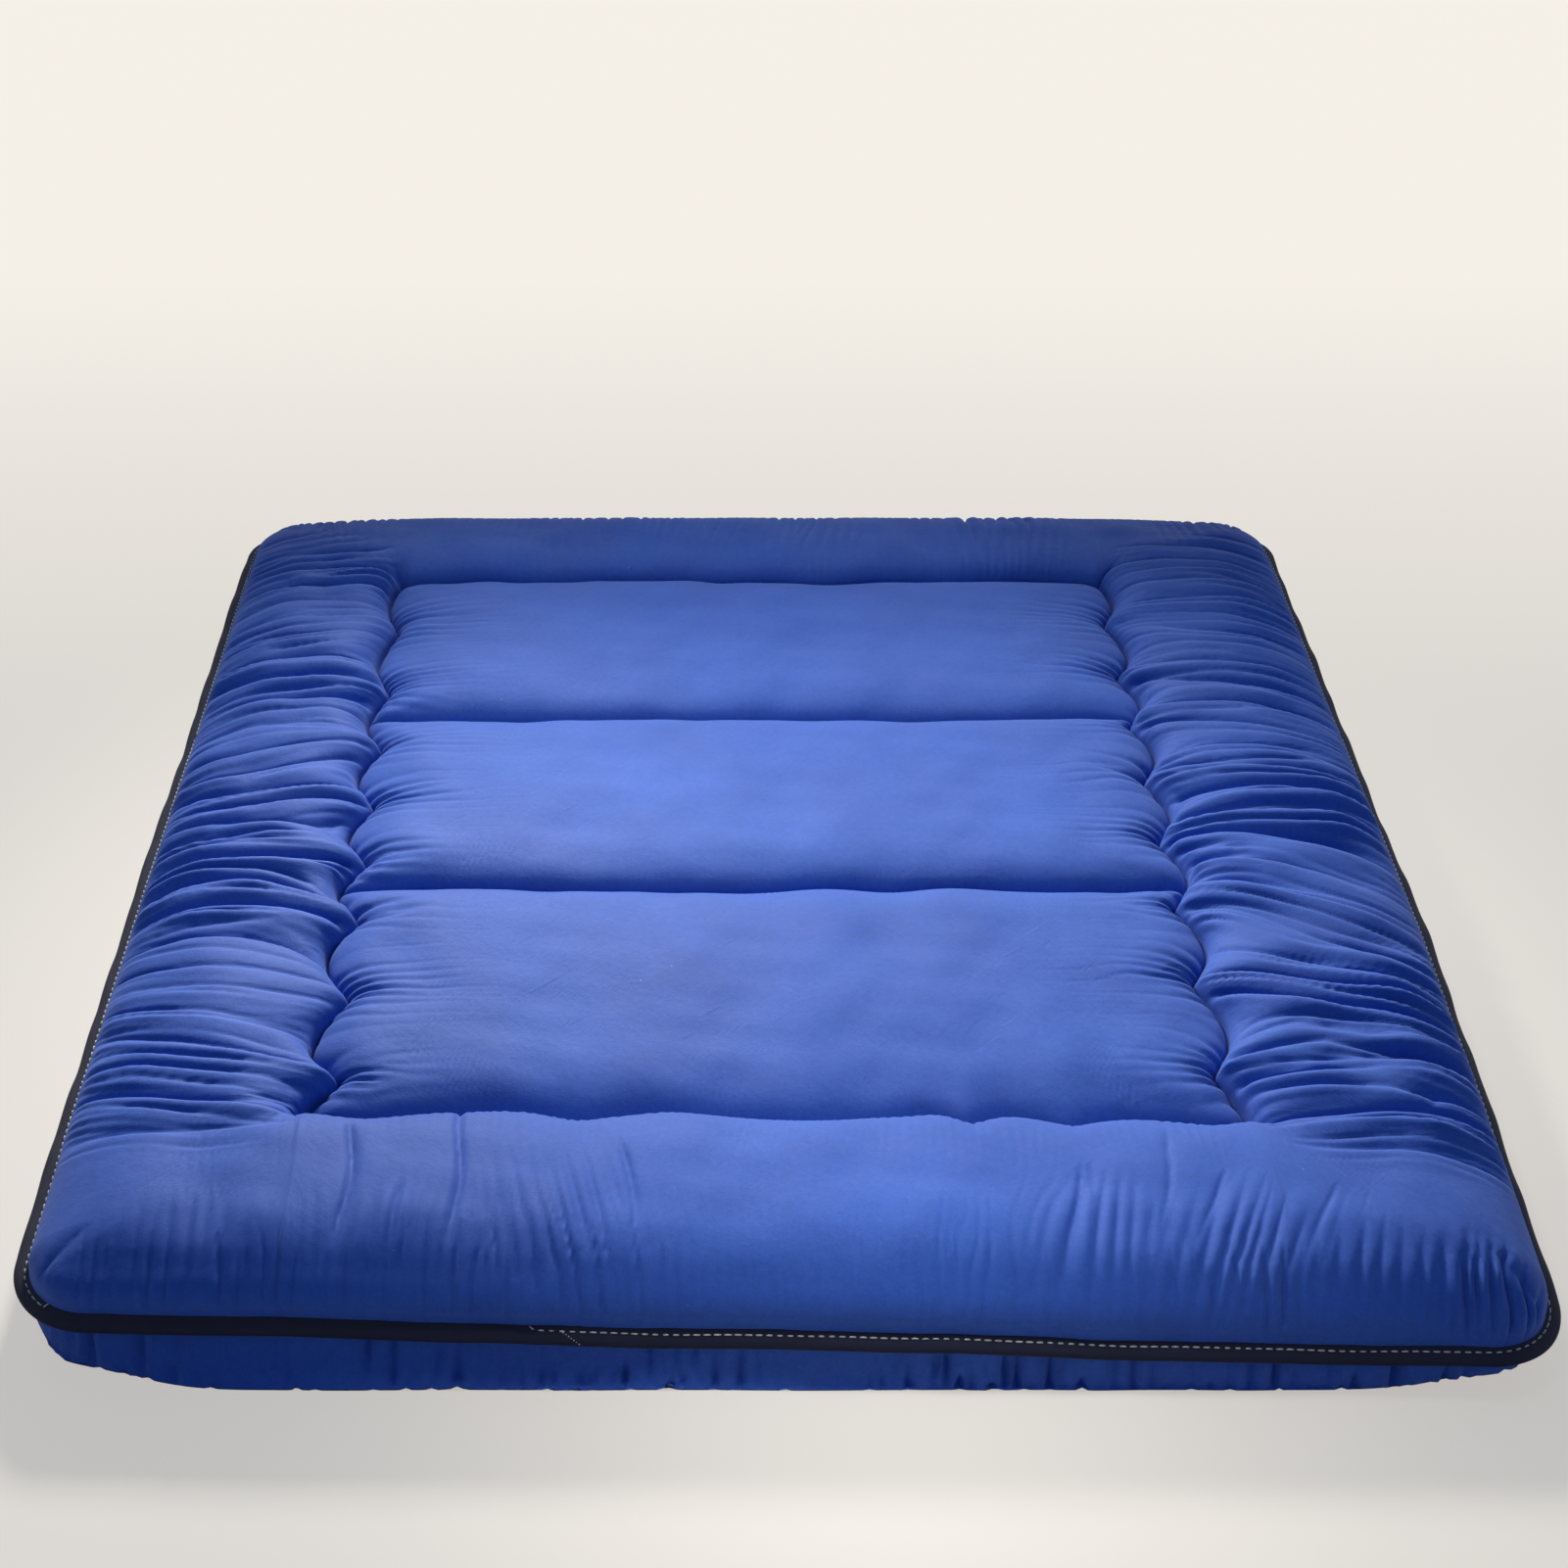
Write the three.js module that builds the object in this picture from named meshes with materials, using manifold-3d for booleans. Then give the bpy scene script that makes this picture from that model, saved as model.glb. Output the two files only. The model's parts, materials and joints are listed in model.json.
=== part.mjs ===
// Quilted floor futon mattress, king size: a puffed top cover and a flat-lying bottom cover meet
// in a bound edge at mid height. A scalloped quilting line parts a fat edge bolster from three
// panels, and the mattress folds at its cross lines. Millimetres, +Z up, origin on the floor
// under the middle; the foot edge is at -Y.
import * as THREE from 'three';
import { mergeVertices } from 'three/addons/utils/BufferGeometryUtils.js';
import Module from 'manifold-3d';

// Overall sizes
const width = 1830;
const length = 2030;
const bolsterHeight = 165;
const panelHeight = 142;
const bindingHeight = 88;
const cornerRadius = 100;

// Quilting lines, from the edges; the cross lines are counted from the foot edge
const sideBolster = 322;
const footBolster = 330;
const headBolster = 262;
const crossLineA = 838;
const crossLineB = 1306;
const stitchHeight = 92;
const stitchFloor = 4;
const puffRadius = 40;

// The scallops of the side lines, counted from the foot edge, and the panels' widening to the head
const scallopPitch = 167;
const scallopDepth = 14;
const leftScallopStart = 468;
const rightScallopStart = 522;
const panelFlare = 22;

// Covers and fold
const coverThickness = 2;
const clearance = 0.3;
const foldGap = 0.6;
const tuckHeight = 12;
const tuckReach = 28;

// Binding tape, folded over the flange of both covers, and its topstitch
const tapeWidth = 22;
const tapeThickness = 9;
const tapeWall = 2.2;
const tapeFold = 1.5;
const edgeRoom = 1.8;
const topstitchInset = 19;
const threadWidth = 2.4;
const threadThickness = 1.2;

// Filling
const coreBottom = 36;
const coreThickness = 40;
const coreInset = 30;
const coreFold = 8;
const coverSlack = 3;
const plySpace = 0.5;

const footEdge = -length / 2;
const headEdge = length / 2;
const footSeam = footEdge + footBolster;
const headSeam = headEdge - headBolster;
const crossA = footEdge + crossLineA;
const crossB = footEdge + crossLineB;
const halfWidth = width / 2;
const coverEdge = tapeWall + edgeRoom;
const flange = tapeWidth + 2 * clearance + edgeRoom;

const colours = {
  cover: { color: 0x2b4bb0, roughness: 0.85, metalness: 0 },
  underside: { color: 0x27459f, roughness: 0.88, metalness: 0 },
  tape: { color: 0x141a3c, roughness: 0.8, metalness: 0 },
  thread: { color: 0xc9ccd4, roughness: 0.6, metalness: 0 },
  quilting: { color: 0x233c92, roughness: 0.6, metalness: 0 },
  wadding: { color: 0xeeeeea, roughness: 0.95, metalness: 0 },
  core: { color: 0xdfe3e6, roughness: 0.9, metalness: 0 },
};

const mattress = new THREE.Group();

function addPiece(name, finish, geometry) {
  geometry.computeVertexNormals();
  const mesh = new THREE.Mesh(geometry, new THREE.MeshStandardMaterial(colours[finish]));
  mesh.name = name;
  mattress.add(mesh);
}

// ---- The quilted surface, over a plain rectangle whose corners and lines are still straight ----

function blendTo(from, to, value) {
  return THREE.MathUtils.smoothstep(value, from, to);
}

// Distances from the two nearest edges, moved so that every ring round the mattress turns the
// corner on its own arc and keeps its distance from the edge.
function turnCorner(side, end) {
  const ring = Math.min(side, end);
  const radius = cornerRadius - ring;
  const run = Math.max(side, end) - ring;
  if (run >= radius) return [side, end];
  const turn = (Math.PI / 4) * (1 - run / radius);
  const near = ring + radius * (1 - Math.cos(turn));
  const far = ring + radius * (1 - Math.sin(turn));
  return side < end ? [near, far] : [far, near];
}

// How far the side quilting line stands outward of its mean, with its scallops and its flare
// towards the head.
function scallopAt(hand, y) {
  const start = footEdge + (hand < 0 ? leftScallopStart : rightScallopStart);
  const wave = scallopDepth * Math.cos((2 * Math.PI * (y - start)) / scallopPitch);
  const flare = panelFlare * ((y - footSeam) / (headSeam - footSeam) - 0.5);
  const beyond = Math.max(footSeam - y, y - headSeam, 0);
  return (wave + flare) * Math.exp(-beyond / puffRadius);
}

// The real place in plan of a point of the plain rectangle.
function inPlan(x, y) {
  const hand = x < 0 ? -1 : 1;
  const end = y < 0 ? -1 : 1;
  const [side, far] = turnCorner(halfWidth - Math.abs(x), headEdge - Math.abs(y));
  const inBolster = blendTo(flange + puffRadius, sideBolster, side);
  const inPanel = Math.exp(-Math.max(side - sideBolster, 0) / (3 * puffRadius));
  const outward = scallopAt(hand, y) * inBolster * inPanel;
  return [hand * (halfWidth - side + outward), end * (headEdge - far)];
}

// Height of the top cover's outer face: bolster all round, then the panels' pillows.
function topHeight(x, y) {
  const side = halfWidth - Math.abs(x);
  const end = y < crossA ? y - footEdge : headEdge - y;
  const endBolster = y < crossA ? footBolster : headBolster;
  const across = (side - flange) / (sideBolster - stitchFloor - flange);
  const along = (end - flange) / (endBolster - stitchFloor - flange);
  const share = Math.min(across, along);
  const flat = bindingHeight + clearance + coverThickness;
  if (share <= 0) return flat;
  if (share < 1) {
    const base = THREE.MathUtils.lerp(flat, stitchHeight, share);
    return base + (bolsterHeight - base) * Math.sin(Math.PI * share) ** 0.55;
  }
  const lines = [footSeam, crossA, crossB, headSeam].map((line) => Math.abs(y - line));
  const reach = Math.min(Math.abs(side - sideBolster), ...lines) - stitchFloor;
  return panelHeight - (panelHeight - stitchHeight) * Math.exp(-Math.max(reach, 0) / puffRadius);
}

// Height of the bottom cover's outer face: a round skirt under the flange, flat on the floor,
// and tucked up under the quilting lines.
function undersideHeight(x, y) {
  const side = halfWidth - Math.abs(x);
  const end = headEdge - Math.abs(y);
  const inward = Math.min(side, end) - flange;
  const flat = bindingHeight - clearance - coverThickness;
  if (inward <= 0) return flat;
  const skirt = flat * (1 - Math.sin((Math.PI / 2) * Math.min(inward / puffRadius, 1)) ** 0.6);
  const inPanels = side > sideBolster - stitchFloor && y > footSeam - 1 && y < headSeam + 1;
  const lines = [footSeam, crossA, crossB, headSeam].map((line) => (inPanels ? Math.abs(y - line) : tuckReach));
  const reachSide = y > footSeam - 1 && y < headSeam + 1 ? Math.abs(side - sideBolster) : tuckReach;
  const reach = Math.min(reachSide, ...lines) / tuckReach;
  return skirt + tuckHeight * (1 - blendTo(0.2, 1, reach));
}

// ---- Stations: where the cloth is measured across and along ----

const span = (from, to, pitch) => {
  const count = Math.max(1, Math.round((to - from) / pitch));
  return Array.from({ length: count + 1 }, (_, i) => from + ((to - from) * i) / count);
};
const mirrored = (stations) => [...stations.map((s) => s - halfWidth), ...stations.toReversed().map((s) => halfWidth - s)];
const bolsterStations = (bolster) => [
  flange + skirtShare * puffRadius, cornerRadius,
  ...[0.5, 0.75].map((share) => flange + share * (bolster - flange)),
  bolster - tuckReach - scallopDepth,
];
const skirtShare = 0.45;
const nearLine = [stitchFloor, 16, 50];
const scallopStep = scallopPitch / 4;

const outerStations = [coverEdge, flange, ...bolsterStations(sideBolster)];
const topColumns = mirrored([
  ...outerStations, ...nearLine.slice(0, 1).map((s) => sideBolster - s), ...nearLine.map((s) => sideBolster + s),
]);
const skirtStations = [
  coverEdge, flange, ...[0.12, skirtShare, 1].map((share) => flange + share * puffRadius), cornerRadius,
];
const undersideColumns = mirrored([
  ...skirtStations, sideBolster - tuckReach, sideBolster - stitchFloor, sideBolster + stitchFloor,
  sideBolster + tuckReach,
]);
const rollColumns = bolsterStations(sideBolster);
const panelColumns = mirrored(nearLine.slice(1).map((s) => sideBolster + s));
const layerColumns = mirrored([sideBolster + tuckReach + scallopDepth]);

function panelRows(from, to) {
  return [
    from + foldGap / 2, ...nearLine.map((s) => from + s),
    ...span(from + nearLine[2], to - nearLine[2], scallopStep).slice(1, -1),
    ...nearLine.toReversed().map((s) => to - s), to - foldGap / 2,
  ];
}
function undersideRows(from, to) {
  const middle = span(from + tuckReach, to - tuckReach, 2 * scallopStep);
  return [from + foldGap / 2, from + stitchFloor, ...middle, to - stitchFloor, to - foldGap / 2];
}

// ---- Cloth and filling, each between two surfaces ----

// A plate of cells reshaped so that it lies over the plan between a lower and an upper surface.
function plyGeometry(columns, rows, lowerAt, upperAt) {
  const plate = new THREE.BoxGeometry(1, 1, 1, columns.length - 1, rows.length - 1, 1);
  plate.deleteAttribute('normal');
  plate.deleteAttribute('uv');
  const points = plate.attributes.position;
  for (let i = 0; i < points.count; i++) {
    const column = columns[Math.round((points.getX(i) + 0.5) * (columns.length - 1))];
    const row = rows[Math.round((points.getY(i) + 0.5) * (rows.length - 1))];
    const [x, y] = inPlan(column, row);
    const height = points.getZ(i) > 0 ? upperAt(column, row) : lowerAt(column, row);
    points.setXYZ(i, x, y, height);
  }
  splitCells(plate);
  return mergeVertices(plate);
}

// Splits every cell of the upper and lower faces along the diagonal that runs away from the middle
// of the mattress, so that plies on each other share their creases and the corners get a clean mitre.
function splitCells(plate) {
  const points = plate.attributes.position;
  const index = plate.index.array;
  for (const { start, count, materialIndex } of plate.groups.slice(4)) {
    const risingByDefault = materialIndex === 4;
    for (let i = start; i < start + count; i += 6) {
      const [a, b, d, , c] = index.slice(i, i + 6);
      const rising = (points.getX(b) + points.getX(d)) * (points.getY(b) + points.getY(d)) > 0;
      if (rising !== risingByDefault) index.set([a, b, c, a, c, d], i);
    }
  }
}

function addTopCover(part, rows) {
  const inside = (x, y) => topHeight(x, y) - coverThickness;
  addPiece(`${part}_top_cover`, 'cover', plyGeometry(topColumns, rows, inside, topHeight));
}

function addBottomCover(part, rows) {
  const inside = (x, y) => undersideHeight(x, y) + coverThickness;
  addPiece(`${part}_bottom_cover`, 'underside', plyGeometry(undersideColumns, rows, undersideHeight, inside));
}

// Loose fibre rolled into the border, between the two covers.
function addRoll(name, columns, rows) {
  const lower = (x, y) => undersideHeight(x, y) + coverThickness + clearance;
  const upper = (x, y) => Math.max(topHeight(x, y) - coverThickness - coverSlack, lower(x, y) + plySpace);
  addPiece(name, 'wadding', plyGeometry(columns, rows, lower, upper));
}

function addSideRolls(part, rows) {
  addRoll(`${part}_left_bolster_roll`, rollColumns.map((s) => s - halfWidth), rows);
  addRoll(`${part}_right_bolster_roll`, rollColumns.toReversed().map((s) => halfWidth - s), rows);
}

// The three layers under the panels: soft wadding, the firm core pad, and wadding again.
function addLayers(part, rows, lowerRows, from, to) {
  const coreTop = coreBottom + coreThickness;
  const puff = (x, y) => topHeight(x, y) - coverThickness - plySpace;
  addPiece(`${part}_upper_wadding`, 'wadding', plyGeometry(panelColumns, rows, () => coreTop + clearance, puff));
  const floor = (x, y) => undersideHeight(x, y) + coverThickness + clearance;
  const lower = plyGeometry(layerColumns, lowerRows, floor, () => coreBottom - clearance);
  addPiece(`${part}_lower_wadding`, 'wadding', lower);
  const coreWidth = width - 2 * (sideBolster + coreInset);
  const coreLength = to - from - 2 * coreInset;
  const pad = paddedBlock(coreWidth, coreLength, coreThickness, coreFold);
  pad.translate(0, (from + to) / 2, coreBottom);
  addPiece(`${part}_core_pad`, 'core', pad);
}

function paddedBlock(across, along, thick, fold) {
  const plan = new THREE.Shape();
  plan.moveTo(-across / 2, -along / 2);
  plan.lineTo(across / 2, -along / 2);
  plan.lineTo(across / 2, along / 2);
  plan.lineTo(-across / 2, along / 2);
  const block = new THREE.ExtrudeGeometry(plan, {
    depth: thick - 2 * fold, bevelThickness: fold, bevelSize: fold, bevelOffset: -fold, bevelSegments: 3,
  });
  return block.translate(0, 0, fold);
}

// ---- Solids that are cut: the binding and its topstitch ----

const wasm = await Module();
wasm.setup();

function solidOf(geometry) {
  const bare = geometry.clone();
  bare.deleteAttribute('normal');
  bare.deleteAttribute('uv');
  const merged = mergeVertices(bare);
  const triVerts = Uint32Array.from(merged.index.array);
  const vertProperties = Float32Array.from(merged.attributes.position.array);
  return new wasm.Manifold(new wasm.Mesh({ numProp: 3, vertProperties, triVerts }));
}

function geometryOf(solid) {
  const { vertProperties, triVerts } = solid.getMesh();
  const geometry = new THREE.BufferGeometry();
  geometry.setAttribute('position', new THREE.BufferAttribute(vertProperties, 3));
  geometry.setIndex(new THREE.BufferAttribute(triVerts, 1));
  return geometry;
}

function outlinePath(path, inset) {
  const x = halfWidth - cornerRadius;
  const y = headEdge - cornerRadius;
  const radius = cornerRadius - inset;
  path.moveTo(x, -y - radius);
  path.absarc(x, -y, radius, -Math.PI / 2, 0);
  path.absarc(x, y, radius, 0, Math.PI / 2);
  path.absarc(-x, y, radius, Math.PI / 2, Math.PI);
  path.absarc(-x, -y, radius, Math.PI, (3 * Math.PI) / 2);
  return path;
}

// A flat ring that follows the edge of the mattress, between two distances from it.
function edgeRing(outer, inner, low, high, fold) {
  const plan = outlinePath(new THREE.Shape(), outer);
  plan.holes.push(outlinePath(new THREE.Path(), inner));
  const ring = new THREE.ExtrudeGeometry(plan, {
    depth: high - low - 2 * fold, curveSegments: 6, bevelEnabled: fold > 0,
    bevelThickness: fold, bevelSize: fold, bevelOffset: -fold, bevelSegments: 1,
  });
  return solidOf(ring.translate(0, 0, low + fold));
}

function cutToZone(ring, xFrom, xTo, yFrom, yTo) {
  const zone = new THREE.BoxGeometry(xTo - xFrom, yTo - yFrom, 2 * bolsterHeight);
  zone.translate((xFrom + xTo) / 2, (yFrom + yTo) / 2, bindingHeight);
  return geometryOf(ring.intersect(solidOf(zone)));
}

const tapeLow = bindingHeight - tapeThickness / 2;
const tapeHigh = bindingHeight + tapeThickness / 2;
const slotReach = coverThickness + 2 * clearance;
const foldedTape = edgeRing(0, tapeWidth, tapeLow, tapeHigh, tapeFold);
const slot = edgeRing(tapeWall, tapeWidth + tapeWall, bindingHeight - slotReach, bindingHeight + slotReach, 0);
const tape = foldedTape.subtract(slot);
const topstitch = edgeRing(
  topstitchInset - threadWidth / 2, topstitchInset + threadWidth / 2,
  tapeHigh + clearance, tapeHigh + clearance + threadThickness, 0,
);

function addEndBinding(part, from, to) {
  addPiece(`${part}_binding_tape`, 'tape', cutToZone(tape, -width, width, from, to));
  addPiece(`${part}_binding_topstitch`, 'thread', cutToZone(topstitch, -width, width, from, to));
}

function addSideBinding(part, from, to) {
  const gap = foldGap / 2;
  for (const [hand, xFrom, xTo] of [['left', -width, 0], ['right', 0, width]]) {
    const zone = [xFrom, xTo, from + gap, to - gap];
    addPiece(`${part}_${hand}_binding_tape`, 'tape', cutToZone(tape, ...zone));
    addPiece(`${part}_${hand}_binding_topstitch`, 'thread', cutToZone(topstitch, ...zone));
  }
}

// ---- Quilting threads, laid in the floor of their lines ----

const threadFloor = () => stitchHeight + clearance;
const threadTop = () => stitchHeight + clearance + threadThickness;

function addSideThreads(part, rows) {
  const line = [sideBolster - threadWidth / 2, sideBolster + threadWidth / 2];
  const left = line.map((s) => s - halfWidth);
  const right = line.toReversed().map((s) => halfWidth - s);
  addPiece(`${part}_left_quilting_thread`, 'quilting', plyGeometry(left, rows, threadFloor, threadTop));
  addPiece(`${part}_right_quilting_thread`, 'quilting', plyGeometry(right, rows, threadFloor, threadTop));
}

function addCrossThread(name, middle) {
  const reach = halfWidth - sideBolster - threadWidth;
  const columns = [-reach, reach];
  const rows = [middle - threadWidth / 2, middle + threadWidth / 2];
  addPiece(name, 'quilting', plyGeometry(columns, rows, threadFloor, threadTop));
}

// ---- The four folding parts ----

const threadOffset = (foldGap + threadWidth) / 2 + clearance;

// The foot and head bolsters: covers, one roll and the tape round the two corners.
function addEndBolster(part, seam, edge) {
  const inward = Math.sign(seam - edge);
  const bolster = Math.abs(seam - edge);
  const outer = [coverEdge, flange, ...bolsterStations(bolster), bolster - stitchFloor, bolster - foldGap / 2];
  const skirt = [...skirtStations, bolster - tuckReach, bolster - stitchFloor, bolster - foldGap / 2];
  const rowsOf = (stations) => stations.map((s) => edge + inward * s).sort((a, b) => a - b);
  addTopCover(part, rowsOf(outer));
  addBottomCover(part, rowsOf(skirt));
  addRoll(`${part}_bolster_roll`, mirrored(rollColumns), rowsOf(bolsterStations(bolster)));
  const cut = seam - (inward * foldGap) / 2;
  addEndBinding(part, Math.min(cut, edge - inward), Math.max(cut, edge - inward));
}

// A length of mattress between two fold lines, with both side bolsters.
function addPanelPart(part, from, to, inner) {
  const stations = [from, ...inner, to];
  const bays = stations.slice(1).map((end, i) => [stations[i], end]);
  const joined = (rowsOf) => bays.flatMap(([a, b], i) => rowsOf(a, b).slice(i > 0 ? 1 : 0, i < bays.length - 1 ? -1 : undefined));
  const rows = joined(panelRows);
  const lowerRows = joined(undersideRows);
  const within = (stations, margin) => stations.filter((row) => row > from + margin && row < to - margin);
  addTopCover(part, rows);
  addBottomCover(part, lowerRows);
  addSideRolls(part, rows);
  addLayers(part, within(rows, stitchFloor), within(lowerRows, stitchFloor), from, to);
  addSideBinding(part, from, to);
  addSideThreads(part, within(rows, stitchFloor / 2));
}

addEndBolster('foot', footSeam, footEdge);
addPanelPart('near', footSeam, crossA, []);
addPanelPart('middle', crossA, headSeam, [crossB]);
addEndBolster('head', headSeam, headEdge);
addCrossThread('near_foot_quilting_thread', footSeam + threadOffset);
addCrossThread('middle_cross_thread_a', crossA + threadOffset);
addCrossThread('middle_cross_thread_b', crossB);
addCrossThread('middle_head_quilting_thread', headSeam - threadOffset);

export default mattress;
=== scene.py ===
"""Quilted floor futon mattress: its covers, binding, threads and filling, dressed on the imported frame.

Each cover is worked out once for the whole mattress as a grid of points: a smooth quilted form, folds
where the cloth is gathered into its seams, and a relaxation in which the cloth settles over its filling.
The result is cut into lengths that each bend across one fold line. Metres, +Z up, foot edge at -Y.
"""

from __future__ import annotations

import json
import logging
import math
from collections.abc import Callable
from dataclasses import dataclass, field
from enum import Enum

import bpy
import numpy as np
from bpy.types import Material, Mesh, Node, NodeTree, Object
from bpy.types import NodeSocket as Socket
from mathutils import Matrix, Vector


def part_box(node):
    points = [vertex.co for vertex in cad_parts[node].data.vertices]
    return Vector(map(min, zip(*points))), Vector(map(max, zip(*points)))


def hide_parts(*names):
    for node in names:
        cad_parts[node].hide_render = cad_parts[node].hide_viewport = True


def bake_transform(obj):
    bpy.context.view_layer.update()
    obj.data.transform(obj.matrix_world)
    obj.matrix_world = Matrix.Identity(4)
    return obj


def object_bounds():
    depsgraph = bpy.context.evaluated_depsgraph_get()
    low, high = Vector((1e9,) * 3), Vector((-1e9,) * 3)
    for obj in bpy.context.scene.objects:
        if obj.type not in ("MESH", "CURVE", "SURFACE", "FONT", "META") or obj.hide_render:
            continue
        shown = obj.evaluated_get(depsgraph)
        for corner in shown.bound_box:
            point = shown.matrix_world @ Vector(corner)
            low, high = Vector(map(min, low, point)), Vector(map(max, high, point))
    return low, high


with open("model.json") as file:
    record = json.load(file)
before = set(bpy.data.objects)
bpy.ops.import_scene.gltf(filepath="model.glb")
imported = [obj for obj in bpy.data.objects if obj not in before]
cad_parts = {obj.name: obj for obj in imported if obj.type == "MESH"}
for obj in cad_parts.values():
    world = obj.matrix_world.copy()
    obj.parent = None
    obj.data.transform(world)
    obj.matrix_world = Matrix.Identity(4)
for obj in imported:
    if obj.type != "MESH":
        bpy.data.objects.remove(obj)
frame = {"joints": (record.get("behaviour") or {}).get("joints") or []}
CAD_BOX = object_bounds()
log = logging.getLogger("futon")

Array = np.ndarray
Span = tuple[float, float]
Triple = tuple[float, float, float]
Colour = tuple[int, int, int]
Slices = tuple[slice, slice]
Surface = Callable[[np.ndarray, np.ndarray], np.ndarray]
MILLI = 0.001
TURN = 2 * math.pi
HAIR = 1e-6


# --- Small helpers on arrays ---


def smooth_step(low: float, high: float, value: Array) -> Array:
    """0 below low, 1 above high, and a smooth rise between."""
    t = np.clip((value - low) / (high - low), 0.0, 1.0)
    return t * t * (3.0 - 2.0 * t)


def window(rise: Span, fall: Span, value: Array) -> Array:
    """0 below the rise, 1 between rise and fall, and 0 above the fall."""
    return smooth_step(*rise, value) * (1 - smooth_step(*fall, value))


def fade(distance: Array, reach: float | Array) -> Array:
    """1 at no distance, and a fixed share less with every reach."""
    return np.exp(-distance / reach)


def hill(distance: Array, reach: float | Array) -> Array:
    """1 at no distance, and nearly 0 two reaches away on either side."""
    return np.exp(-((distance / reach) ** 2))


def soft_min(a: Array, b: Array, share: float | Array) -> Array:
    """The smaller of two distances, rounded where they are nearly equal by a share of their size."""
    width = np.maximum(share * np.minimum(a, b), 1e-9)
    mix = np.clip(0.5 + 0.5 * (b - a) / width, 0.0, 1.0)
    return b * (1 - mix) + a * mix - width * mix * (1 - mix)


def plump(share: Array, power: float) -> Array:
    """Height of a stuffed edge: 0 at its seam, steep there, and level at share 1."""
    return (1 - (1 - np.clip(share, 0, 1)) ** power) ** (1 / power)


def unit(vectors: Array) -> Array:
    """The vectors of an array, each brought to length 1."""
    return vectors / np.maximum(np.linalg.norm(vectors, axis=-1, keepdims=True), 1e-12)


def run_along(points: Array) -> Array:
    """The distance walked from the first point to each, along their line."""
    return np.concatenate([[0.0], np.cumsum(np.linalg.norm(np.diff(points, axis=0), axis=1))])


def stations(*stretches: Triple) -> Array:
    """Evenly spaced values over stretches that join end to end.

    Args:
        stretches: (start, end, step) for each stretch.

    Returns:
        The values, with each shared end once.
    """
    parts = []
    for start, end, step in stretches:
        count = max(1, round((end - start) / step))
        parts.append(np.linspace(start, end, count + 1)[:-1])
    parts.append(np.array([stretches[-1][1]]))
    return np.concatenate(parts)


# --- Layout: the lines of the quilting, read from the frame ---


class Face(Enum):
    """Which cover of the mattress a sheet is."""

    TOP = "top"
    UNDERSIDE = "underside"


@dataclass(frozen=True)
class LobedLine:
    """A quilting line that runs in rounded lobes which meet at cusps."""

    lobes: tuple[float, ...]
    depth: float
    sharpness: float = 0.07
    far_share: float = 1.0
    cusp_reach: float = 0.24

    def phase(self, run: Array) -> Array:
        """Lobes passed so far: a whole number at a lobe's middle, and a half more at a cusp."""
        return np.interp(run, self.lobes, np.arange(len(self.lobes)))

    def offset(self, run: Array) -> Array:
        """How far the line stands out at that place, from -depth at a cusp to depth at a lobe."""
        swing = np.sqrt(np.cos(math.pi * self.phase(run)) ** 2 + self.sharpness**2)
        low, high = self.sharpness, math.sqrt(1 + self.sharpness**2)
        return self.depth * (2 * (swing - low) / (high - low) - 1)

    def crowding(self, run: Array) -> Array:
        """A shift of the run that draws folds together at the cusps."""
        pitch = np.gradient(np.array(self.lobes)).mean()
        return -pitch / TURN * np.sin(TURN * self.phase(run))

    def nearness(self, run: Array) -> Array:
        """1 at a cusp, falling to 0 at the middle of a lobe."""
        return hill(np.abs((self.phase(run) % 1.0) - 0.5), self.cusp_reach)


@dataclass(frozen=True)
class Layout:
    """Where the edges, seams and fold lines of the mattress run, in metres."""

    half_width: float
    foot_edge: float
    head_edge: float
    foot_seam: float
    cross_a: float
    cross_b: float
    head_seam: float
    binding: float
    stitch: float
    crest: float
    side_bolster: float = 0.322
    corner: float = 0.100
    seam_inset: float = 0.0175
    crown: float = 0.145
    pillow_reach: float = 0.120
    near_cut: float = 0.45

    @classmethod
    def from_frame(cls) -> Layout:
        """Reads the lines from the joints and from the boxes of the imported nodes.

        Returns:
            The lines of this frame's mattress.
        """
        low, high = CAD_BOX
        hinge = {j["name"]: j["pos_m"][1] for j in frame["joints"]}
        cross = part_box("middle_cross_thread_b")
        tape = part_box("foot_binding_tape")
        thread_low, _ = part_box("near_foot_quilting_thread")
        thread_sink = 6 * MILLI
        return cls(
            half_width=high[0],
            foot_edge=low[1],
            head_edge=high[1],
            foot_seam=hinge["foot_fold"],
            cross_a=hinge["near_fold"],
            cross_b=(cross[0].y + cross[1].y) / 2,
            head_seam=hinge["head_fold"],
            binding=(tape[0].z + tape[1].z) / 2,
            stitch=thread_low.z - thread_sink,
            crest=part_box("foot_top_cover")[1].z,
        )

    @property
    def inner(self) -> float:
        """Half the width between the side quilting lines."""
        return self.half_width - self.side_bolster

    @property
    def lines(self) -> tuple[float, float, float, float]:
        """The four lines that cross the mattress, from foot to head."""
        return (self.foot_seam, self.cross_a, self.cross_b, self.head_seam)

    @property
    def near_middle(self) -> float:
        """Where the cloth between the foot fold and the near fold is cut into two lengths."""
        return self.foot_seam + self.near_cut * (self.cross_a - self.foot_seam)


# --- The quilted form ---


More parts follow.
